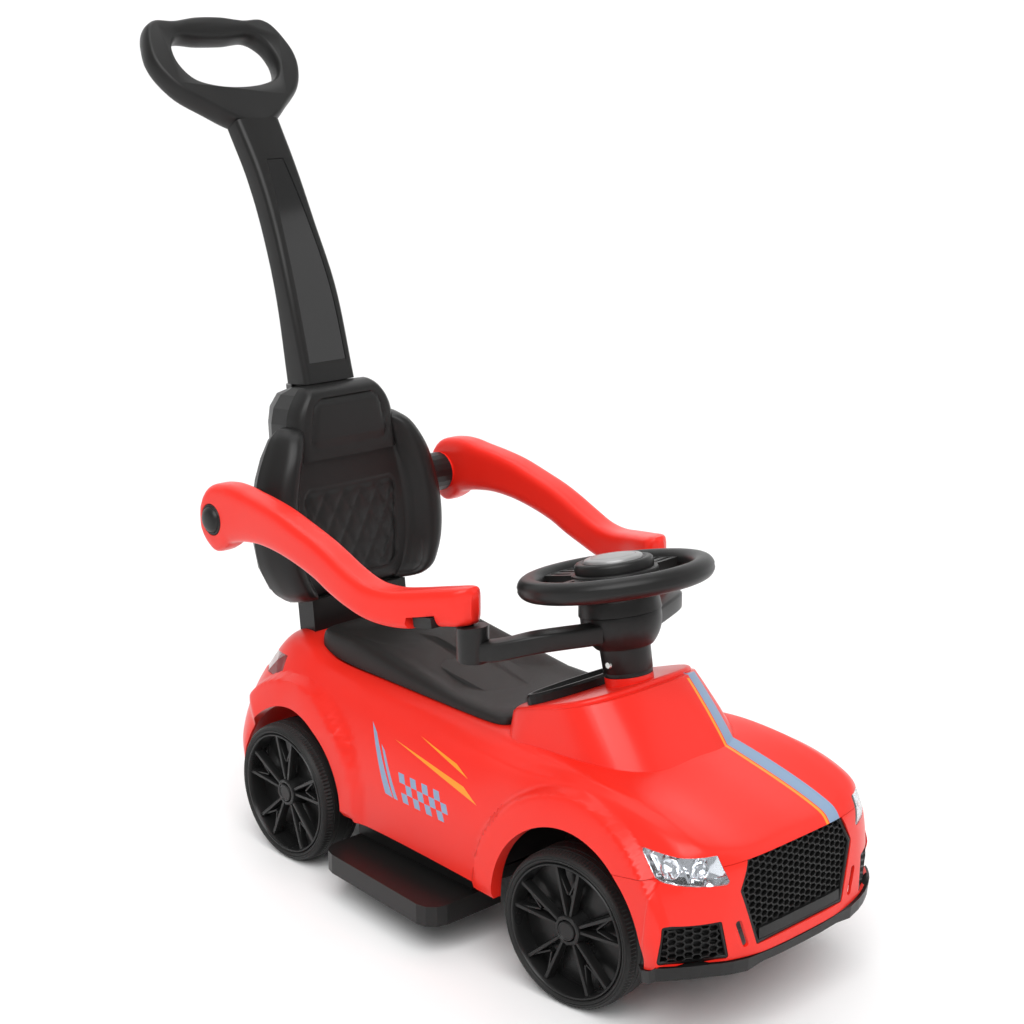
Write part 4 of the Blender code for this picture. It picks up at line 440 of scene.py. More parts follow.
tailLamp = {"outline": ((0.1010, 0.2040), (0.1030, 0.1780), (0.0700, 0.1720), (0.0600, 0.1900)),
            "round": 0.002, "cut": (0.175, 0.30)}
columnAt = leaned((0.0, -0.2115, 0.310), -11.67)


def stationLine(station):
    middle, sweep, *points = station
    edge = points[-1][0]
    half = [Vector((x, middle + sweep * (x / edge) ** skin["sweepPower"], z)) for x, z in points]
    return [Vector((-p.x, p.y, p.z)) for p in reversed(half[1:])] + half


bodyLines = [stationLine(station) for station in bodyStations]
lastRow, lastLine = len(bodyLines) - 1, len(bodyLines[0]) - 1


def skinRow(row, lines):
    across = [curve([stations[k] for stations in bodyLines], row / lastRow) for k in range(lastLine + 1)]
    return [curve(across, line / lastLine) for line in lines]


def archBand(point):
    # how far the fender stands out of the side at this point
    lift = 0.0
    if abs(point.x) > skin["bandFrom"]:
        for y, z, radius, lip, start, end in skin["arches"]:
            reach = hypot(point.y - y, point.z - z) - radius
            angle = degrees(atan2(point.z - z, point.y - y))
            past, within = skin["bandFade"]
            if skin["bandReach"][0] < reach < skin["bandReach"][1] and start - past < angle < end + past:
                fade = (smoothStep(start - past, start + within, angle)
                        * (1 - smoothStep(end - within, end + past, angle)))
                edge = 1 - smoothStep(skin["bandWidth"] - skin["bandEdge"], skin["bandWidth"], reach)
                least, most = skin["bandLift"]
                gap = max(lip - abs(point.x), 0.0) * skin["bandShare"]
                lift = max(lift, min(max(gap, least), most) * fade * edge)
    return lift


def skinSheet(first, last, perRow=16, perLine=11):
    # the body's wall as a closed sheet with both faces
    rows = [first + k / perRow for k in range(round((last - first) * perRow) + 1)]
    lines = [k / perLine for k in range(lastLine * perLine + 1)]
    grid = [skinRow(row, lines) for row in rows]
    outer, inner = [], []
    for i, row in enumerate(grid):
        outer.append([])
        inner.append([])
        near, far = grid[max(i - 1, 0)], grid[min(i + 1, len(grid) - 1)]
        for k, point in enumerate(row):
            across = row[min(k + 1, len(row) - 1)] - row[max(k - 1, 0)]
            normal = across.cross(far[k] - near[k])
            if normal.length < 1e-12:
                normal = Vector((0.0, 0.0, -1.0))
            inner[-1].append(point + normal.normalized() * skin["wall"])
            lift = archBand(point) * (1 if point.x > 0 else -1)
            outer[-1].append(point + Vector((lift, 0.0, 0.0)))
    return sheetOf(outer, inner)


def archSpaces():
    bm = bmesh.new()
    for y, z, radius, *_ in skin["arches"]:
        for side in (-1, 1):
            addPart(bm, prism(circle(y, z, radius, 96), *(side * x for x in skin["archCut"]), "X"))
    return bm


def bumperZone(lift):
    top = [(y, z + lift) for y, z in skin["bumperTop"]]
    return prism([(top[0][0], 0.0), *top, (top[-1][0], 0.0)], -0.2, 0.2, "X")


def cowlRing(shrink, lift, t):
    # t runs from the low ring at 0 to the sloped top at 1
    slope = cowl["slope"] * t
    halfA = mix(*cowl["halfWidth"], t) - shrink
    low, top = cowl["halfLength"]
    halfB = mix(low, top / cos(cowl["slope"]), t) - shrink
    y, z = (mix(low, top, t) for low, top in zip(cowl["base"], cowl["top"]))
    front, rear = (superellipse(halfA, halfB, power, cowl["steps"]) for power in cowl["powers"])
    return [(a, y + b * cos(slope), z + lift - b * sin(slope))
            for a, b in (far if far[1] > 0 else near for near, far in zip(front, rear))]


def cowlBlock():
    rings = [cowlRing(0.0, 0.0, t) for t in cowl["shares"]]
    for k in range(6):
        a = pi / 2 * k / 5
        rings.append(cowlRing(cowl["soft"] * (1 - cos(a)), -cowl["soft"] * (1 - sin(a)), 1.0))
    return loft(rings)


def aimed(side, theta, a, reach, z):
    # a runs across the aim, reach along it, away from the car
    return Vector((side * (a * cos(theta) + reach * sin(theta)), a * sin(theta) - reach * cos(theta), z))


def aimedPrism(front, side=1):
    theta, outline, cut = fronts[front]
    points = rounded(outline, 0.0025, 4)
    return loft([[aimed(side, theta, a, reach, z) for a, z in points] for reach in cut])


def buildBody():
    shell = thingOf("bodySkin", skinSheet(0, skin["bodyRow"]), paint["red"])
    carve(shell, cowlBlock(), "UNION")
    carve(shell, loft([cowlRing(skin["wall"], lift, t) for lift, t in cowl["hollow"]]))
    carve(shell, placed(rod(*skin["columnHole"], 64), columnAt))
    carve(shell, placed(turned(skin["collar"], 64, close=True), columnAt), "UNION")
    carve(shell, archSpaces())
    carve(shell, bumperZone(skin["gap"]))
    carve(shell, prism(rounded(box(*skin["well"]), 0.012), *skin["wellCut"]))
    for side in (-1, 1):
        carve(shell, aimedPrism("lamp", side))
        tail = [(side * x, z) for x, z in rounded(tailLamp["outline"], tailLamp["round"], 3)]
        carve(shell, prism(tail, *tailLamp["cut"], "Y"))
    carve(shell, placed(prism(rounded(box(*skin["backFoot"]), 0.004, 3), *skin["backCut"]), backAt))
    dress(shell, "car", "body_shell", 32)


def buildBumper():
    bumper = thingOf("bumperSkin", skinSheet(skin["bumperRow"], lastRow), paint["red"])
    carve(bumper, bumperZone(0.0), "INTERSECT")
    carve(bumper, archSpaces())
    carve(bumper, aimedPrism("grille"))
    for side in (-1, 1):
        for front in ("intake", "slot", "lamp"):
            carve(bumper, aimedPrism(front, side))
    dress(bumper, "car", "front_bumper", 32)


# Wheels

wheel = {
    "radius": 0.0725, "width": 0.046, "steps": 240, "seat": 0.0622, "web": 0.019, "hub": 0.0135,
    "back": -0.0225, "steer": 5.8, "lugAt": 0.0116,
    "bevel": (0.6, 0.92, 0.22, 1.6),    # shares: width of flat and edge, fall of edge and corner
    "spoke": {"turn": 9.0, "half": (0.0019, 0.0026), "depth": (0.0, -0.0085)},
    "twin": {"turn": 5.2, "half": (0.0011, 0.0013), "depth": (0.0, -0.006)},
    "places": {"front_right": (-0.11283, -0.27433, 0.0725), "rear_right": (-0.113, 0.135, 0.0725),
               "front_left": (0.11283, -0.26767, 0.0725), "rear_left": (0.113, 0.135, 0.0725)},
}


def tyreMesh():
    # rows run from the inner bead over the tread; the alternate steps cut ribs in the shoulders
    r, h = wheel["radius"], wheel["width"] / 2
    half = [(0.0625, 0.0175, 0), (0.0625, 0.0205, 0), (0.0635, 0.0220, 0), (0.0650, h, 0), (0.0658, h, 0),
            (0.0663, h - 0.0006, 0), (0.0668, h, 0), (0.0679, h - 0.0003, 0), (0.0684, h - 0.0010, 0),
            (0.0689, h - 0.0008, 0), (0.0697, h - 0.0018, 0.0), (0.0708, h - 0.0032, 0.0010),
            (0.0717, h - 0.0052, 0.0013), (0.0721, h - 0.0080, 0.0012), (0.0722, h - 0.0100, 0.0),
            (0.0716, h - 0.0103, 0), (0.0716, h - 0.0113, 0), (r - 0.0001, h - 0.0116, 0),
            (r, h - 0.0160, 0), (r - 0.0007, h - 0.0163, 0), (r - 0.0007, h - 0.0172, 0),
            (r, h - 0.0175, 0)]
    return turned([(a, -b, c) for a, b, c in half] + half[::-1], wheel["steps"], "X", close=True)


def spoke(start, end, look):
    # a bar between two points of (x, radius, angle) with chamfered front edges
    axis, (ahead, behind) = Vector((1.0, 0.0, 0.0)), look["depth"]
    start, end = (Vector((x, radius * cos(angle), radius * sin(angle)))
                  for x, radius, angle in (start, end))
    across = (end - start).normalized().cross(axis).normalized()
    flat, brim, fall, corner = wheel["bevel"]
    lip = (behind - ahead) * fall
    rings = []
    for spot, half in zip((start, end), look["half"]):
        front, back = spot + axis * ahead, spot + axis * behind
        ways = (across * half, across * -half)
        edges = [(front + way * flat, front + way * brim + axis * lip, front + way + axis * lip * corner,
                  back + way) for way in ways]
        rings.append([edges[1][0], *edges[0], *edges[1][:0:-1]])
    return loft(rings)


def rimMesh():
    # the face looks along +X; the ring, closed disc, twin spokes, hub and lug rings are one moulding
    face, seat, hub, back = wheel["width"] / 2, wheel["seat"], wheel["hub"], wheel["back"]
    disc = face - wheel["web"]
    bm = turned([(0.0587, -face + 0.001), (seat, -face + 0.001), (seat, 0.0172), (0.0624, face - 0.0012),
                 (0.0618, face - 0.0004), (0.0606, face - 0.0004), (0.0600, face - 0.0012),
                 (0.0596, face - 0.003), (0.0587, face - 0.0050)], 120, "X", close=True)
    addPart(bm, turned([(0.0050, disc - 0.003), (0.0592, disc - 0.003), (0.0592, disc),
                        (0.020, disc + 0.0006), (0.0050, disc + 0.0006)], 120, "X", close=True))
    addPart(bm, turned([(0.0046, back), (hub - 0.001, back), (hub, back + 0.001),
                        (hub + 0.0035, disc + 0.001), (hub + 0.0008, face - 0.0075), (hub, face - 0.0045),
                        (0.0124, face - 0.0036), (0.0104, face - 0.0036), (0.0096, face - 0.0046),
                        (0.0096, face - 0.0088), (0.0046, face - 0.0088)], 72, "X", close=True))
    for at in range(90, 450, 72):
        for sign in (-1, 1):
            turn = sign * wheel["spoke"]["turn"]
            addPart(bm, spoke((face - 0.0056, 0.0108, radians(at + turn)),
                              (face - 0.0034, 0.0598, radians(at + turn * 1.35)), wheel["spoke"]))
        for sign in (-1, 1):
            turn = sign * wheel["twin"]["turn"]
            addPart(bm, spoke((face - 0.0062, 0.0335, radians(at + turn * 0.25)),
                              (face - 0.0050, 0.0592, radians(at + turn * 2.4)), wheel["twin"]))
        lug = radians(at + 36)
        ring = turned([(0.0012, face - 0.0075), (0.0020, face - 0.0075), (0.0020, face - 0.0038),
                       (0.0012, face - 0.0038)], 20, "X", close=True)
        addPart(bm, moved(ring, (0, wheel["lugAt"] * cos(lug), wheel["lugAt"] * sin(lug))))
    return bm


def capMesh():
    face = wheel["width"] / 2
    return turned([(0.0, face - 0.0070), (0.0090, face - 0.0070), (0.0092, face - 0.0045),
                   (0.0086, face - 0.0030), (0.0076, face - 0.0026), (0.0072, face - 0.0030),
                   (0.0, face - 0.0030)], 64, "X")


def buildWheels():
    for corner, place in wheel["places"].items():
        turn = (0 if place[0] > 0 else 180) + (wheel["steer"] if "front" in corner else 0)
        for kind, word, mesh, key in (("tyre", "tyre", tyreMesh, "rubber"), ("rim", "rim", rimMesh, "rim"),
                                      ("hub_cap", "cap", capMesh, "rim")):
            show(word + corner.title().replace("_", ""), placed(mesh(), leaned(place, turn, "Z")), key,
                 corner + "_wheel", f"{kind}_{corner}", 30)


# Painting the CAD nodes that stay; all but these are black plastic

nodePaint = {"zinc": ("column_screw",), "ruby": ("tail_lamp",),
             "steel": ("rear_axle", "kingpin", "steering_shaft", "arm_hinge_pin")}


def paintNodes():
    for name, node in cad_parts.items():
        keys = [key for key, starts in nodePaint.items() if name.startswith(starts)] or ["black"]
        for slot in node.material_slots:
            slot.material = paint[keys[0]]
        smooth = node.modifiers.new("edges", "BEVEL")
        smooth.width, smooth.segments, smooth.harden_normals = 0.0009, 2, False
        smooth.limit_method, smooth.angle_limit = "ANGLE", radians(40)


# Plain stripes and chequers on the red plastic

decal = {
    "blue": (0.23, 0.33, 0.48), "orange": (0.90, 0.30, 0.02),
    "square": 0.0088, "lean": 0.004, "chequerAt": (-0.046, 0.1175),
    "stripe": ((0.045, -0.4225), (0.060, -0.4225), (0.060, -0.248), (0.045, -0.248)),
    "edge": ((0.0405, -0.4225), (0.0438, -0.4225), (0.0438, -0.256), (0.0405, -0.256)),
    "bars": (((0.018, 0.178), (0.008, 0.170), (-0.030, 0.117), (-0.018, 0.118)),
             ((-0.002, 0.162), (-0.009, 0.157), (-0.038, 0.117), (-0.032, 0.117))),
    "slashes": (((-0.020, 0.171), (-0.150, 0.1475), (-0.128, 0.158)),
                ((-0.052, 0.183), (-0.132, 0.166), (-0.112, 0.174))),
}


def decorateBody():
    top, side = (0, 1), (1, 2)      # the axes that an outline is drawn over
    size, lean = decal["square"], decal["lean"]
    squares = []
    for row in range(3):
        for k in range(4):
            y = decal["chequerAt"][0] - size * (2 * k + row % 2) + row * lean
            z = decal["chequerAt"][1] + row * size
            squares.append(((y, z), (y - size, z), (y - size + lean, z + size), (y + lean, z + size)))
    blue = [(top, decal["stripe"])] + [(side, shape) for shape in (*decal["bars"], *squares)]
    orange = [(top, decal["edge"])] + [(side, shape) for shape in decal["slashes"]]
    decorate(paint["red"], [(decal["blue"], blue), (decal["orange"], orange)])


# Stage, light and camera

cameraAt = {"place": (-1.1899, -1.3438, 0.8541), "forward": (0.6578, 0.7073, -0.2591),
            "right": (0.7321, -0.6812, 0.0), "up": (0.1763, 0.1895, 0.9659), "lens": 66.54, "sensor": 36.0}
lighting = {"world": 0.42, "sun": 2.0, "sunFrom": Vector((-0.45, -0.55, 1.0)), "sunSpread": radians(50),
            "aimHeight": Vector((0, 0, 0.3)),       # place, size and power of each area light
            "areas": {"key": ((-1.6, -0.6, 1.9), 1.2, 9), "fill": ((1.8, -2.0, 1.6), 1.6, 5),
                      "top": ((0.2, 0.6, 2.2), 1.4, 8)}}


def addLight(name, kind, power, place, back):
    light = bpy.data.objects.new(name, bpy.data.lights.new(name, kind))
    light.data.energy = power
    light.matrix_world = Matrix.Translation(place) @ back.to_track_quat("Z", "Y").to_matrix().to_4x4()
    bpy.context.scene.collection.objects.link(light)
    return light.data


def plane(name, size, mat, matrix):
    bm = bmesh.new()
    bmesh.ops.create_grid(bm, x_segments=1, y_segments=1, size=size)
    return thingOf(name, placed(bm, matrix), mat)


def buildStage():
    scene = bpy.context.scene
    camera = bpy.data.objects.new("camera", bpy.data.cameras.new("camera"))
    camera.data.lens, camera.data.sensor_width = cameraAt["lens"], cameraAt["sensor"]
    matrix = Matrix((cameraAt["right"], cameraAt["up"], -Vector(cameraAt["forward"]))).transposed().to_4x4()
    matrix.translation = cameraAt["place"]
    camera.matrix_world = matrix
    scene.collection.objects.link(camera)
    scene.camera = camera
    floorMat = grained("floorPaint", (0.93, 0.93, 0.93), (0.96, 0.96, 0.96), 0.6, 0.05, 30, 0.02)
    standing = leaned((130.0, 140.0, 0.0), -42.9, "Z") @ Matrix.Rotation(radians(90), 4, "X")
    plane("floor", 3000, floorMat, Matrix())
    plane("backdrop", 400, floorMat, standing)
    world = bpy.data.worlds.new("world")
    world.use_nodes = True
    sky = world.node_tree.nodes["Background"]
    sky.inputs["Color"].default_value = (1.0, 1.0, 1.0, 1.0)
    sky.inputs["Strength"].default_value = lighting["world"]
    scene.world = world
    sun = addLight("sun", "SUN", lighting["sun"], (0, 0, 0), lighting["sunFrom"])
    sun.angle = lighting["sunSpread"]
    for name, (place, size, power) in lighting["areas"].items():
        addLight(name, "AREA", power, place, Vector(place) - lighting["aimHeight"]).size = size
    scene.view_settings.view_transform = "Standard"


# Grille, intakes and headlamps

honeycomb = {"cellWidth": 0.0092, "cellHeight": 0.0060, "wall": 0.0007, "depth": 0.004, "sink": 0.0022,
             "pitch": 0.78, "rims": {"grille": 0.0040, "intake": 0.0030}, "bar": (0.0540, 0.0955, 0.1050),
             "barDepths": (0.0002, 0.0060), "floorDepths": (0.0066, 0.0078), "under": 0.0004, "near": 0.45,
             "frame": ((0.0, 0.0012), (0.0, 0.0004), (0.25, 0.0), (0.75, 0.0), (1.0, 0.0010), (1.0, 0.0070),
                       (0.0, 0.0070))}      # share of the rim and depth


def skinTree():
    bm = skinSheet(skin["bumperRow"], lastRow, 8, 6)
    tree = BVHTree.FromBMesh(bm)
    bm.free()
    return tree


def insideOutline(point, outline):
    # the point, or the nearest place on the outline if it lies outside
    inside, best, reach = True, point, 1.0
    middle = middleOf(outline)
    for k, corner in enumerate(outline):
        a, b = Vector(corner), Vector(outline[(k + 1) % len(outline)])
        edge = b - a
        if edge.cross(point - a) * edge.cross(middle - a) < 0:
            inside = False
        near = a + edge * min(max((point - a).dot(edge) / edge.length_squared, 0.0), 1.0)
        if (near - point).length < reach:
            best, reach = near, (near - point).length
    return point if inside else best


def hexNet(name, spots, mat):
    # rings set on every spot by Geometry Nodes
    width, height, wall = honeycomb["cellWidth"], honeycomb["cellHeight"], honeycomb["wall"]
    corners = [(width * a, height * b) for a, b in ((-0.5, 0.0), (-0.28, 0.5), (0.28, 0.5), (0.5, 0.0),
                                                    (0.28, -0.5), (-0.28, -0.5))]
    shrink = [(a * (1 - wall * 2 / width), b * (1 - wall * 2 / height)) for a, b in corners]
    depth = honeycomb["depth"]
    cell = thingOf("cell", loft([[(a, y, b) for a, b in line] for line, y in (
        (corners, 0.0003), (shrink, 0.0), (shrink, depth), (corners, depth))], closeEnds=False), mat)
    data = bpy.data.meshes.new(name)
    data.from_pydata([(x, 0.0, z) for x, z in spots], [], [])
    net = bpy.data.objects.new(name, data)
    bpy.context.scene.collection.objects.link(net)
    tree = bpy.data.node_groups.new(name, "GeometryNodeTree")
    for word, way, kind in (("Geometry", "INPUT", "Geometry"), ("Cell", "INPUT", "Object"),
                            ("Geometry", "OUTPUT", "Geometry")):
        tree.interface.new_socket(word, in_out=way, socket_type="NodeSocket" + kind)
    source, points, info, copies, real, finish, sink = (tree.nodes.new(kind) for kind in (
        "NodeGroupInput", "GeometryNodeMeshToPoints", "GeometryNodeObjectInfo",
        "GeometryNodeInstanceOnPoints", "GeometryNodeRealizeInstances", "GeometryNodeSetMaterial",
        "NodeGroupOutput"))
    finish.inputs["Material"].default_value = mat
    for start, output, end, socket in (
            (source, "Geometry", points, "Mesh"), (source, "Cell", info, "Object"),
            (points, "Points", copies, "Points"), (info, "Geometry", copies, "Instance"),
            (copies, "Instances", real, "Geometry"), (real, "Geometry", finish, "Geometry"),
            (finish, "Geometry", sink, "Geometry")):
        tree.links.new(start.outputs[output], end.inputs[socket])
    step = net.modifiers.new("cells", "NODES")
    step.node_group = tree
    step[tree.interface.items_tree["Cell"].identifier] = cell
    applySteps(net)
    bpy.data.objects.remove(cell, do_unlink=True)
    return net


def bentTo(tree, side, theta, a, depth, z):
    # the place this deep under the skin, seen along the aim
    inwards = aimed(1, theta, 0.0, -1.0, 0.0)
    hit = tree.ray_cast(aimed(1, theta, a, 0.7, z), inwards)[0]
    spot = (hit if hit else aimed(1, theta, a, 0.400, z)) + inwards * depth
    spot.x *= side
    return spot


def meshFront(name, front, side, node, tree):
    # a frame with a net of flattened hexagons, bent to the bumper's face
    theta, outline, _ = fronts[front]
    rim = honeycomb["rims"][front]
    points = rounded(outline, 0.002, 3)
    middle = middleOf(points)
    inner = outlineAlong(points, rim)
    if (Vector(inner[0]) - middle).length > (Vector(points[0]) - middle).length:
        inner = outlineAlong(points, -rim)
    xs, zs = zip(*inner)
    stepX, stepZ = honeycomb["cellWidth"] * honeycomb["pitch"], honeycomb["cellHeight"]
    spots = []
    for i in range(round((max(xs) - min(xs)) / stepX) + 3):
        for k in range(round((max(zs) - min(zs)) / stepZ) + 3):
            at = Vector((min(xs) + (i - 0.5) * stepX, min(zs) + (k - 0.5 + (i % 2) / 2) * stepZ))
            if (insideOutline(at, inner) - at).length < stepZ * honeycomb["near"]:
                spots.append(tuple(at))
    net = hexNet(name, spots, paint["black"])
    for vert in net.data.vertices:
        vert.co.x, vert.co.z = insideOutline(Vector((vert.co.x, vert.co.z)), inner)
        vert.co.y += honeycomb["sink"]
    bm = bmesh.new()
    bm.from_mesh(net.data)
    bmesh.ops.remove_doubles(bm, verts=bm.verts, dist=1e-7)
    bmesh.ops.dissolve_degenerate(bm, edges=bm.edges, dist=1e-7)
    addPart(bm, loft([[(a, y, b) for a, b in outlineMix(points, inner, share)]
                      for share, y in honeycomb["frame"]], closeEnds=False))
    addPart(bm, prism(outlineMix(points, inner, 0.5), *honeycomb["floorDepths"], "Y"))
    if front == "grille":
        half, low, high = honeycomb["bar"]
        for k in range(16):
            a0, a1 = (-half + 2 * half * (k + m) / 16 for m in (0, 1))
            addPart(bm, prism(box(a0, low, a1, high), *honeycomb["barDepths"], "Y"))
    for vert in bm.verts:
        vert.co = bentTo(tree, side, theta, vert.co.x, vert.co.y + honeycomb["under"], vert.co.z)
    bmesh.ops.recalc_face_normals(bm, faces=bm.faces)
    bm.to_mesh(net.data)
    bm.free()
    dress(net, "car", node, 35)


lamp = {
    "lens": (0.0002, 0.0016, 0.0006), "lensSteps": 14,      # depth outside and inside, and the gap round it
    "bowl": ((0.0200, 0.0135), (0.0060, 0.0125), (0.0034, 0.0110), (0.0008, 0.0022), (0.0, 0.0022),
             (0.0, 0.0160)),                                # inset and depth of each ring
    "cones": ((0.30, 0.0085), (0.68, 0.0075)),              # share of the width, and radius
    "cone": ((1.0, 0.0128), (1.0, 0.0050), (0.86, 0.0044), (0.62, 0.0095), (0.30, 0.0112)),
    "barHalf": 0.0011, "barDepths": (0.0024, 0.0125),
}


def lampCorners(shrink=0.0):
    corners = [Vector(p) for p in fronts["lamp"][1]]
    middle = sum(corners, Vector((0.0, 0.0))) / 4
    return [c + (middle - c).normalized() * shrink for c in corners]


def edgePoints(corners, steps):
    return [tuple(corner.lerp(corners[(k + 1) % len(corners)], m / steps))
            for k, corner in enumerate(corners) for m in range(steps)]


def lampSpot(corners, s, t):
    return corners[0].lerp(corners[1], s).lerp(corners[3].lerp(corners[2], s), t)


def buildLamps(tree):
    steps = lamp["lensSteps"]
    for side, word in sides:
        def bent(points, depth):
            return [bentTo(tree, side, fronts["lamp"][0], x, depth, z) for x, z in points]
        outside, inside, gap = lamp["lens"]
        plate = lampCorners(gap)
        grid = [[lampSpot(plate, i / steps, k / steps) for k in range(steps + 1)] for i in range(steps + 1)]
        lens = sheetOf(*([bent(row, depth) for row in grid] for depth in (outside, inside)))
        show("lampLens" + word.title(), lens, "clear", "car", "headlamp_lens_" + word, 60)
        bowl, corners = bmesh.new(), lampCorners()
        addPart(bowl, loft([bent(edgePoints(lampCorners(inset), 8), depth)
                            for inset, depth in lamp["bowl"]]))
        for share, radius in lamp["cones"]:
            spot = lampSpot(corners, share, 0.52)
            addPart(bowl, loft([bent(circle(spot.x, spot.y, radius * part, 28), depth)
                                for part, depth in lamp["cone"]]))
        top, low = corners[0].lerp(corners[1], 0.5), corners[3].lerp(corners[2], 0.45)
        half = lamp["barHalf"]
        ring = [(top.x - half, top.y - 0.002), (top.x + half, top.y - 0.002),
                (low.x + half, low.y + 0.002), (low.x - half, low.y + 0.002)]
        addPart(bowl, loft([bent(ring, depth) for depth in lamp["barDepths"]]))
        show("lampBowl" + word.title(), bowl, "chrome", "car", "headlamp_reflector_" + word, 30)


def buildFronts():
    tree = skinTree()
    meshFront("grilleNet", "grille", 1, "front_grille", tree)
    for side, word in sides:
        meshFront("intakeNet" + word.title(), "intake", side, "side_intake_" + word, tree)
    buildLamps(tree)


# Guard arms

armProfile = (             # y, middle in x, top and bottom of the arm from its front to its rear
    (-0.1470, .1215, .3500, .3235), (-0.1440, .1219, .3543, .3195), (-0.1200, .1297, .3507, .3152),
    (-0.0900, .1403, .3449, .3083), (-0.0650, .1465, .3411, .3061), (-0.0400, .1512, .3426, .3083),
    (-0.0150, .1536, .3512, .3147), (0.0080, .1541, .3611, .3222), (0.0300, .1542, .3693, .3312),
    (0.0600, .1541, .3780, .3391), (0.0900, .1538, .3860, .3441), (0.1200, .1531, .3909, .3455),
    (0.1450, .1525, .3938, .3429), (0.1600, .1524, .3958, .3399), (0.1734, .1524, .3962, .3358),
    (0.1800, .1524, .3958, .3302), (0.1965, .1524, .3930, .3225), (0.2067, .1524, .3883, .3265),
    (0.2131, .1524, .3803, .3334), (0.2172, .1524, .3695, .3417), (0.2193, .1524, .3600, .3500),
)
armLook = {
    "rings": 110, "around": 48, "half": 0.0153, "power": 4.2, "pivot": (0.0, 0.1965, 0.3573),
    "frontSteps": (0.0003, 0.0008, 0.0014, 0.003), "rearSteps": (0.0002, 0.0006, 0.0011, 0.0016),
    "boss": ((0.0043, 0.1345), (0.0190, 0.1345), (0.0200, 0.1355), (0.0200, 0.1573), (0.0043, 0.1573)),
    "cap": ((0.0, 0.1603), (0.0157, 0.1603), (0.0157, 0.1672), (0.0150, 0.1682), (0.0138, 0.1684),
            (0.0132, 0.1680), (0.0124, 0.1700), (0.0104, 0.1718), (0.0074, 0.1729), (0.0036, 0.1734),
            (0.0, 0.1735)),
    "cuts": ((0.034, 0.1251, 0.1345), (0.018, 0.12, 0.1563)), "capHole": (0.0163, 0.1600, 0.19),
    "nose": (0.013, 0.30), "tail": (0.006, 0.72, 0.28),
    "pegAt": (0.1215, -0.1370), "pocket": (0.0077, 0.30, 0.3330),
    "notch": (-0.0200, -0.0157, 0.0200, 0.0157), "notchCut": (-0.02, 0.0062),
    "notchAt": -0.1045, "notchUp": 0.00575, "notchLean": -0.215,
}


def armAt(y):
    # middle, top and bottom of the arm at this y
    rows = armProfile
    k = next((i for i in range(len(rows) - 1) if y <= rows[i + 1][0]), len(rows) - 2)
    before, near, far, after = rows[max(k - 1, 0)], rows[k], rows[k + 1], rows[min(k + 2, len(rows) - 1)]
    width = far[0] - near[0]
    t = (y - near[0]) / width
    t2, t3 = t ** 2, t ** 3
    values = []
    for c in (1, 2, 3):
        slopeNear = (far[c] - before[c]) / (far[0] - before[0])
        slopeFar = (after[c] - near[c]) / (after[0] - near[0])
        values.append((2 * t3 - 3 * t2 + 1) * near[c] + (t3 - 2 * t2 + t) * width * slopeNear
                      + (3 * t2 - 2 * t3) * far[c] + (t3 - t2) * width * slopeFar)
    return values


def hingeRod(side, radius, start, end, steps=72):
    return moved(rod(radius, *sorted((side * start, side * end)), steps, "X"), armLook["pivot"])


def hingeTurned(side, profile, steps, close):
    bm = turned(profile, steps, "X", close)
    if side < 0:
        bmesh.ops.scale(bm, vec=(-1, 1, 1), verts=bm.verts)
    return moved(bm, armLook["pivot"])


def buildArms():
    low, high = armProfile[0][0], armProfile[-1][0]
    spots = {low + (high - low) * k / armLook["rings"] for k in range(armLook["rings"] + 1)}
    spots |= {low + d for d in armLook["frontSteps"]} | {high - d for d in armLook["rearSteps"]}
    pegX, pegY = armLook["pegAt"]
    for side, word in sides:
        rings = []
        for y in sorted(spots):
            middle, top, bottom = armAt(y)
            (nose, least), (tail, base, more) = armLook["nose"], armLook["tail"]
            ahead, behind = min((y - low) / nose, 1.0), min((high - y) / tail, 1.0)
            blunt = max((1 - (1 - ahead) ** 2) ** 0.5, least)
            blunt *= base + more * (1 - (1 - behind) ** 2) ** 0.5
            rings.append([(side * (middle + a), y, (top + bottom) / 2 + b) for a, b in superellipse(
                armLook["half"] * blunt, (top - bottom) / 2, armLook["power"], armLook["around"])])
        arm = thingOf("guardArm" + word.title(), loft(rings), paint["red"])
        for cut in armLook["cuts"]:
            carve(arm, hingeRod(side, *cut))
        carve(arm, hingeTurned(side, armLook["boss"], 72, True), "UNION")
        carve(arm, hingeRod(side, *armLook["capHole"]))
        carve(arm, moved(rod(*armLook["pocket"], 48), (side * pegX, pegY, 0.0)))
        middle, _, bottom = armAt(armLook["notchAt"])
        notch = Matrix.Translation((side * middle, armLook["notchAt"], bottom + armLook["notchUp"]))
        carve(arm, placed(prism(box(*armLook["notch"]), *armLook["notchCut"]),
                          notch @ Matrix.Rotation(armLook["notchLean"], 4, "X")))
        dress(arm, word + "_arm", "guard_arm_" + word, 40)
        show("armCap" + word.title(), hingeTurned(side, armLook["cap"], 64, False), "black",
             word + "_arm", "pivot_cap_" + word)


# Backrest

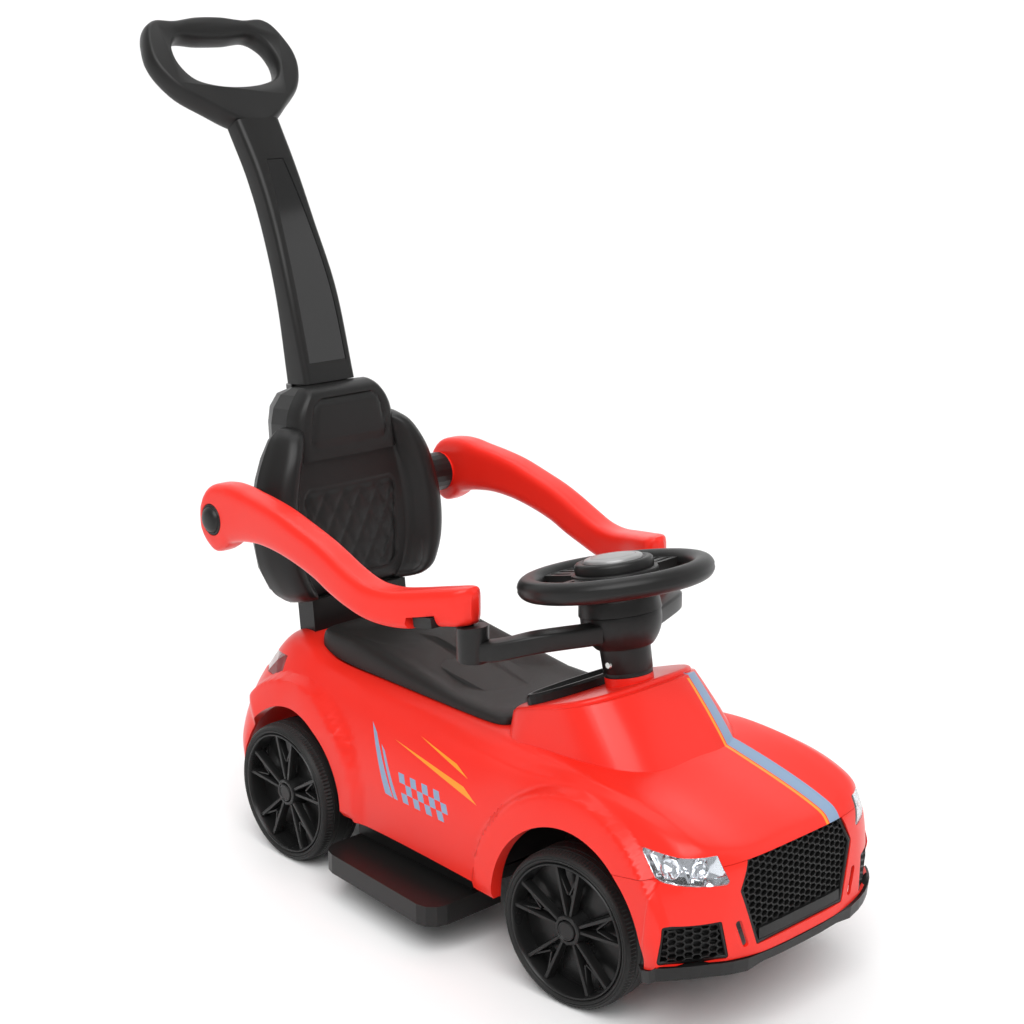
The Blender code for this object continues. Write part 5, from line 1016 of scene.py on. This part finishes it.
backLook = {
    "rows": ((.2535, .0800, 0.0), (.2545, .0815, 0.45), (.2590, .0890, 0.85), (.2700, .1010, 1.0),
             (.2950, .1130, 1.0), (.3250, .1170, 1.0), (.3550, .1145, 1.0), (.3850, .1065, 1.0),
             (.4060, .0970, 0.95), (.4240, .0865, 0.75), (.4330, .0765, 0.40), (.4350, .0725, 0.0)),
    "headRows": ((.3980, .0655, 0.0), (.3987, .0655, 0.9), (.4020, .0655, 1.0), (.4360, .0640, 1.0),
                 (.4520, .0590, 1.0), (.4650, .0500, 0.9), (.4715, .0440, 0.5), (.4730, .0410, 0.0)),
    "front": ((1.0, 0.002), (.988, -.0105), (.965, -.0190), (.92, -.0300), (.87, -.0352), (.81, -.0372),
              (.74, -.0345), (.67, -.0240), (.61, -.0140), (.56, -.0125), (.40, -.0128), (.20, -.0132),
              (0.0, -.0134)),
    "head": ((1.0, 0.002), (.985, -.0080), (.955, -.0150), (.90, -.0188), (.82, -.0205), (.50, -.0215),
             (.25, -.0218), (0.0, -.0219)),
    "rake": 6.1, "foot": (0.186, 0.253), "wall": 0.0025, "spare": 0.0008, "seam": 0.002,
    "armCut": (0.0216, 0.1036, 0.136),
    "groove": 0.0016, "padGroove": 0.0015, "puff": 0.0011, "padPuff": (0.0012, 0.006),
    "quilt": {"size": 0.0235, "slant": 0.62, "from": 0.30, "inset": 0.004, "stitch": 0.0013, "soft": 0.008},
    "innerShare": (0.975, 0.972),
    "panel": {"low": 0.2720, "high": 0.3660, "halfLow": 0.0530, "halfHigh": 0.0600, "round": 0.012},
    "pad": {"low": 0.4106, "high": 0.4597, "halfLow": 0.0515, "halfHigh": 0.0405, "round": 0.010},
}
backAt = leaned((0.0, *backLook["foot"]), -backLook["rake"])


def backHeight(z):
    return (z - backLook["foot"][1]) / cos(radians(backLook["rake"]))


def panelReach(x, z, panel):
    # distance inside the panel's rounded outline, negative outside
    share = (z - panel["low"]) / (panel["high"] - panel["low"])
    half = mix(panel["halfLow"], panel["halfHigh"], min(max(share, 0.0), 1.0))
    r = panel["round"]
    dx = abs(x) - (half - r)
    dz = abs(z - (panel["low"] + panel["high"]) / 2) - ((panel["high"] - panel["low"]) / 2 - r)
    return r - hypot(max(dx, 0.0), max(dz, 0.0)) - min(max(dx, dz), 0.0)


def frontRelief(x, z):
    # sunk outline, raised panel and stitched diamonds
    quilt, puff = backLook["quilt"], backLook["puff"]
    size, slant = quilt["size"], quilt["slant"] * (z - quilt["from"])
    inside = panelReach(x, z, backLook["panel"])
    relief = -backLook["groove"] * max(0.0, 1 - abs(inside) / backLook["groove"])
    if inside > quilt["inset"]:
        a, b = (abs((line / size) % 1 - 0.5) * size for line in (x + slant, x - slant))
        near = min(size / 2 - a, size / 2 - b)
        relief -= puff * max(0.0, 1 - near / quilt["stitch"])
        relief += puff * min(near / quilt["soft"], 1.0)
    return relief


def headRelief(x, z):
    inside = panelReach(x, z, backLook["pad"])
    puff, soft = backLook["padPuff"]
    return (puff * smoothStep(0.0, soft, inside)
            - backLook["groove"] * max(0.0, 1 - abs(inside) / backLook["padGroove"]))


def cup(rows, shape, relief, perRow, perStep):
    # a hollow padded shell; rows are (height, half width, fullness), and the shape is half its section
    seam, wall, spare = backLook["seam"], backLook["wall"], backLook["spare"]
    count, tall = (len(shape) - 1) * perStep, (len(rows) - 1) * perRow
    half = [curve(shape, m / count) for m in range(count + 1)]
    line = [(-s.x, s.y) for s in half] + [(s.x, s.y) for s in reversed(half[:-1])]
    middle = backHeight((rows[0][0] + rows[-1][0]) / 2)
    narrow, short = backLook["innerShare"]
    outer, inner = [], []
    for k in range(tall + 1):
        z, width, level = curve(rows, k / tall)
        level = min(max(level, 0.0), 1.0)
        height = backHeight(z)
        outer.append([])
        inner.append([])
        for share, depth in line:
            x, y = width * share, seam + level * (depth - seam)
            outer[-1].append((x, y - relief(x, z) * level, height))
            inner[-1].append((x * narrow, min(y + wall + spare, seam), mix(middle, height, short)))
    return sheetOf(outer, inner)


def buildBackrest():
    both = cup(backLook["rows"], backLook["front"], frontRelief, 12, 9)
    addPart(both, cup(backLook["headRows"], backLook["head"], headRelief, 9, 8))
    shell = thingOf("backrestShell", both, paint["black"])
    shell.data.transform(backAt)
    for side in (-1, 1):
        carve(shell, hingeRod(side, *backLook["armCut"], 64))
    dress(shell, "car", "backrest_front", 45)


# Seat

seatLook = {
    "halfWidth": 0.0765, "front": -0.1350, "rear": 0.148, "skirt": 0.2067, "power": 14, "around": 220,
    "levels": ((0.0, 0.0), (0.0, 0.25), (0.0003, 0.5), (0.0010, 0.70), (0.0022, 0.82), (0.0040, 0.91),
               (0.0062, 0.965), (0.0090, 0.99), (0.013, 1.0), (0.018, 1.0), (0.024, 1.0), (0.031, 1.0),
               (0.040, 1.0), (0.050, 1.0), (0.062, 1.0), (0.070, 1.0)),     # inset and share of the height
    "crest": 0.2150, "rise": 0.0210, "riseSpan": (-0.045, 0.060), "wall": 0.0025,
    "deckLine": 4, "gap": 0.0012,
    "hollow": (0.002, 0.005, 0.2), "hollowEdge": (0.007, 0.026), "softer": 200,
    "underShare": (0.968, 0.982),
}


def deckAt(y):
    # height of the body's deck at this y
    low, high = 3.0, 13.0
    for _ in range(24):
        middle = (low + high) / 2
        if skinRow(middle, [seatLook["deckLine"]])[0].y > y:
            low = middle
        else:
            high = middle
    return skinRow(low, [seatLook["deckLine"]])[0].z


def buildSeat():
    front, rear, halfWidth = seatLook["front"], seatLook["rear"], seatLook["halfWidth"]
    middle, half = (front + rear) / 2, (rear - front) / 2
    heights, rings = {}, []
    for inset, level in seatLook["levels"]:
        ring = []
        power = max(seatLook["power"] - inset * seatLook["softer"], 3.0)
        for a, b in superellipse(halfWidth - inset, half - inset, power, seatLook["around"]):
            y = middle + b
            key = round(y, 4)
            if key not in heights:
                heights[key] = (max(seatLook["skirt"], deckAt(y) + seatLook["gap"]),
                                seatLook["crest"] + seatLook["rise"] * smoothStep(*seatLook["riseSpan"], y))
            least, more, span = seatLook["hollow"]
            hollow = least + more * min(max((y - front) / span, 0.0), 1.0)
            dip = hollow * (1 - (a / halfWidth) ** 2) * smoothStep(*seatLook["hollowEdge"], inset)
            ring.append((a, y, mix(*heights[key], level) - dip))
        rings.append(ring)
    narrow, short = seatLook["underShare"]
    under = [[(a * narrow, mix(middle, y, short), z - seatLook["wall"] if i > 3 else z)
              for a, y, z in ring] for i, ring in enumerate(rings[:-3])]
    show("seatLid", loft(under[::-1] + rings), "seat", "seat_lid", "seat", 50)


# Push handle

handleLook = {
    # y, z, half width and depth of the stem
    "stem": ((.2122, .4737, .0325, .0380), (.2385, .5645, .0320, .0290), (.2686, .6360, .0275, .0280),
             (.2960, .6900, .0265, .0270), (.3275, .7390, .0275, .0255)), "stemRound": 0.0062,
    "tilt": radians(40), "foot": (0.0, 0.3299, 0.7410), "insertSpan": (0.055, 0.79),
    "insertHalf": (.0236, .0225, .0190, .0145, .0105), "loopSteps": 12, "loopHalf": 0.012,
    # grow, front and back of the inset and of its seat; steps, edge and depth of the loop and its hole
    "insert": (0.0, 0.0008, 0.0023), "insertSeat": (0.0003, -0.004, 0.0026), "insertEnd": 0.3,
    "loopEdge": (16, -0.0060, 0.012), "holeEdge": (18, 0.0085, 0.0132), "edgePower": 0.8,
    "tipFrom": 0.1, "tipTrim": 0.0023, "tongue": (0.026, 0.0100, 0.0400, 0.085, 0.010), "headTop": 0.4730,
    "outline": ((.0111, -.0086), (.0313, .0014), (.0507, .0168), (.0749, .0375), (.0882, .0609),
                (.0924, .0829), (.0885, .1045), (.0825, .1207), (.0756, .1293), (.0646, .1339),
                (.0437, .1327), (.0152, .1373)),
    "hole": ((.0127, .0423), (.0356, .0461), (.0516, .0532), (.0599, .0662), (.0622, .0814),
             (.0581, .0971), (.0439, .1080), (.0165, .1054)),
}


def loopPoint(x, v, depth):
    tilt = handleLook["tilt"]
    return (Vector(handleLook["foot"]) + Vector((x, 0.0, 0.0)) + Vector((0.0, sin(tilt), cos(tilt))) * v
            + Vector((0.0, cos(tilt), -sin(tilt))) * depth)


def loopCurve(half):
    return closedCurve([*half, *((-x, v) for x, v in reversed(half))], handleLook["loopSteps"])


def loopBlock(outline, steps, soft, depth):
    # the outline as a thick plate with its edges rounded over
    rings = []
    for k in range(steps + 1):
        a = pi * k / steps
        line = outlineAlong(outline, soft * (1 - sin(a) ** handleLook["edgePower"]))
        rings.append([loopPoint(x, v, handleLook["loopHalf"] - depth * cos(a)) for x, v in line])
    return loft(rings)


def stemAt(t):
    y, z, half, depth = curve(handleLook["stem"], t)
    near = (min(t + 0.01, 1.0), max(t - 0.01, 0.0))
    ahead, behind = (curve(handleLook["stem"], share) for share in near)
    along = Vector((0.0, ahead[0] - behind[0], ahead[1] - behind[1])).normalized()
    if t == 0.0:
        rake = radians(backLook["rake"])
        along = Vector((0.0, sin(rake), cos(rake)))
    return Vector((0.0, y, z)), half, depth, Vector((0.0, along.z, -along.y))


def stemRing(t, half, near, far, cut=0.0):
    face, _, _, back = stemAt(t)
    corners = box(-half, near, half, far)
    points = rounded(corners, cut) if cut else corners
    return [face + Vector((x, 0.0, 0.0)) + back * d for x, d in points]


def insertStrip(grow, near, far):
    rings = []
    for k in range(33):
        t = mix(*handleLook["insertSpan"], k / 32) + (k / 32 - 0.5) * 2 * grow / handleLook["insertEnd"]
        half = curve([(w, 0.0) for w in handleLook["insertHalf"]], k / 32)[0] + grow
        rings.append(stemRing(t, half, near, far))
    return loft(rings)


def buildHandle():
    rings = []
    for k in range(49):
        _, half, depth, _ = stemAt(k / 48)
        rings.append(stemRing(k / 48, half, 0.0, depth, handleLook["stemRound"]))
    handle = thingOf("handleBar", loft(rings), paint["black"])
    outline, low = loopCurve(handleLook["outline"]), handleLook["tipFrom"]
    top = max(v for _, v in handleLook["outline"]) - low - handleLook["tipTrim"]
    reach = top / (max(v for _, v in outline) - low)
    outline = [(x, low + (v - low) * reach if v > low else v) for x, v in outline]
    carve(handle, loopBlock(outline, *handleLook["loopEdge"]), "UNION")
    carve(handle, loopBlock(loopCurve(handleLook["hole"]), *handleLook["holeEdge"]))
    top = backHeight(handleLook["headTop"])
    half, near, far, below, above = handleLook["tongue"]
    carve(handle, placed(prism(box(-half, near, half, far), top - below, top + above), backAt), "UNION")
    carve(handle, insertStrip(*handleLook["insertSeat"]))
    dress(handle, "handle", "push_handle")
    show("handleStrip", insertStrip(*handleLook["insert"]), "gloss", "handle", "handle_insert")


# Steering wheel, column and cross bar: profiles are (radius, height) along the column

steering = {
    "ring": 0.0805, "tube": 0.0103, "lift": 0.0435, "seam": 0.0006, "turn": 5.8,
    "angles": (0.0, 90.0, 180.0), "armSpan": (0.0380, 0.0480), "slotCut": (0.03, 0.06),
    "screwHole": (0.0043, 0.02, 0.0473, 32),
    "arm": ((0.034, -0.019), (0.0800, -0.0205), (0.0800, 0.0205), (0.034, 0.019)),
    "slots": ((-0.0135, -0.0095), (-0.0020, 0.0020), (0.0095, 0.0135)), "slotSpan": (0.0440, 0.0672),
    "hub": ((0.0, 0.0345), (0.0365, 0.0345), (0.0390, 0.0357), (0.0405, 0.0390), (0.0405, 0.0475),
            (0.0398, 0.0492), (0.0383, 0.0500), (0.0, 0.0500)),
    "pad": ((0.0, 0.0503), (0.0365, 0.0503), (0.0365, 0.0560), (0.0358, 0.0580), (0.0344, 0.0592),
            (0.0325, 0.0595), (0.0300, 0.0592), (0.0292, 0.0586), (0.0286, 0.0592), (0.0274, 0.0592),
            (0.0273, 0.0528), (0.0, 0.0528)),
    "button": ((0.0, 0.0561), (0.0270, 0.0561), (0.0270, 0.0605), (0.0264, 0.0615), (0.0250, 0.0622),
               (0.0215, 0.0626), (0.0208, 0.0620), (0.0202, 0.0626), (0.0150, 0.0633), (0.0080, 0.0636),
               (0.0, 0.0637)),
}


def buildSteering():
    turn = columnAt @ Matrix.Rotation(radians(steering["turn"]), 4, "Z")
    tube = circle(steering["ring"], steering["lift"], steering["tube"], 32)
    tube = [(r - (steering["seam"] if k in (0, 16) else 0.0), z) for k, (r, z) in enumerate(tube)]
    rim = thingOf("steeringRim", turned(tube, 144, close=True), paint["black"])
    carve(rim, turned(steering["hub"]), "UNION")
    for angle in steering["angles"]:
        spin = Matrix.Rotation(radians(angle), 4, "Z")
        carve(rim, placed(prism(rounded(steering["arm"], 0.002, 3), *steering["armSpan"]), spin), "UNION")
        for low, high in steering["slots"]:
            start, end = steering["slotSpan"]
            slot = rounded(box(start, low, end, high), 0.0018, 4)
            carve(rim, placed(prism(slot, *steering["slotCut"]), spin))
    carve(rim, rod(*steering["screwHole"]))
    rim.data.transform(turn)
    dress(rim, "steering", "steering_wheel", 35)
    show("hornSurround", placed(turned(steering["pad"]), turn), "black", "steering", "horn_pad")
    show("hornDisc", placed(turned(steering["button"]), turn), "horn", "horn", "horn_button")


barLook = {
    # x, y, bottom and top of the bar from its post to the bowl
    "path": ((.1215, -.1435, .2862, .3035), (.1110, -.1680, .2905, .3085), (.0870, -.1920, .2985, .3160),
             (.0320, -.2135, .2990, .3165)), "half": 0.0095,
    "post": (0.1215, -0.1435, 0.0148), "postFoot": 0.2855, "peg": (0.0055, 0.02, 0.0115, 0.001),
    "postRows": ((0.0015, 0.0), (0.0004, 0.0004), (0.0, 0.0015), (0.0, None)),
    "bowl": (0.0375, -0.0205, 0.006),
    "bowlTop": ((0.0375, 0.0100), (0.0371, 0.0108), (0.0366, 0.0110), (0.0, 0.0110)),
    "hollow": ((0.0, -0.0225), (0.0243, -0.0225), (0.0243, -0.0057), (0.0045, -0.0057),
               (0.0045, -0.0015), (0.0335, -0.0015), (0.0335, 0.041), (0.0, 0.041)),
    "cover": ((0.0385, 0.0113), (0.0386, 0.0125), (0.0378, 0.0180), (0.0370, 0.0235), (0.0363, 0.0262),
              (0.0350, 0.0284), (0.0330, 0.0300), (0.0295, 0.0310), (0.0045, 0.0310), (0.0045, 0.0280),
              (0.0285, 0.0280), (0.0320, 0.0113)),
    "sleeve": ((0.0225, -0.0470), (0.0228, -0.0440), (0.0226, -0.0432), (0.0230, -0.0424),
               (0.0240, -0.0060), (0.0200, -0.0060), (0.0185, -0.0400), (0.0045, -0.0400),
               (0.0045, -0.0470)),
}


def postTop(y):
    # the post ends just under the arm's sloping bottom
    front, rear = armAt(-0.140)[2], armAt(-0.120)[2]
    return front + (rear - front) / 0.020 * (y + 0.140) - 0.0008


def barRing(side, t):
    x, y, low, high = curve(barLook["path"], t)
    ahead, behind = curve(barLook["path"], min(t + 0.02, 1)), curve(barLook["path"], max(t - 0.02, 0))
    along = Vector((side * (ahead[0] - behind[0]), ahead[1] - behind[1]))
    across = Vector((along.y, -along.x)).normalized()
    return [(side * x + across.x * a, y + across.y * a, b)
            for a, b in rounded(box(-barLook["half"], low, barLook["half"], high), 0.0028, 4)]


def buildColumn():
    radius, low, high = barLook["bowl"]
    bowl = [(0.0, low)]
    for k in range(17):
        lift = low + (high - low) * k / 16
        bowl.append(((radius ** 2 - (high - lift) ** 2) ** 0.5, lift))
    bar = thingOf("crossBar", placed(turned([*bowl, *barLook["bowlTop"]]), columnAt), paint["black"])
    x, y, radius = barLook["post"]
    foot = barLook["postFoot"]
    for side in (-1, 1):
        carve(bar, loft([barRing(side, k / 24) for k in range(25)]), "UNION")
        post = [[(a, b, postTop(b) if lift is None else foot + lift)
                 for a, b in circle(side * x, y, radius - inset, 72)]
                for inset, lift in barLook["postRows"]]
        carve(bar, loft(post), "UNION")
        thick, up, past, soft = barLook["peg"]
        low, high = foot + up, postTop(armLook["pegAt"][1]) + past
        peg = turned([(0, low), (thick - soft, low), (thick - soft * 0.3, low + soft * 0.3),
                      (thick, low + soft), (thick, high - soft), (thick - soft * 0.3, high - soft * 0.3),
                      (thick - soft, high), (0, high)], 40)
        carve(bar, moved(peg, (side * armLook["pegAt"][0], armLook["pegAt"][1], 0.0)), "UNION")
    carve(bar, placed(turned(barLook["hollow"]), columnAt))
    dress(bar, "car", "cross_bar", 35)
    for part in ("cover", "sleeve"):
        mesh = placed(turned(barLook[part], close=True), columnAt)
        show("column" + part.title(), mesh, "black", "car", "column_" + part, 35)


paintNodes()
print("stage: nodes painted", flush=True)
for build in (buildWheels, buildBody, buildBumper, buildFronts, buildArms, buildBackrest, buildSeat,
              buildHandle, buildSteering, buildColumn, decorateBody, buildStage):
    build()
    print("stage:", build.__name__, flush=True)
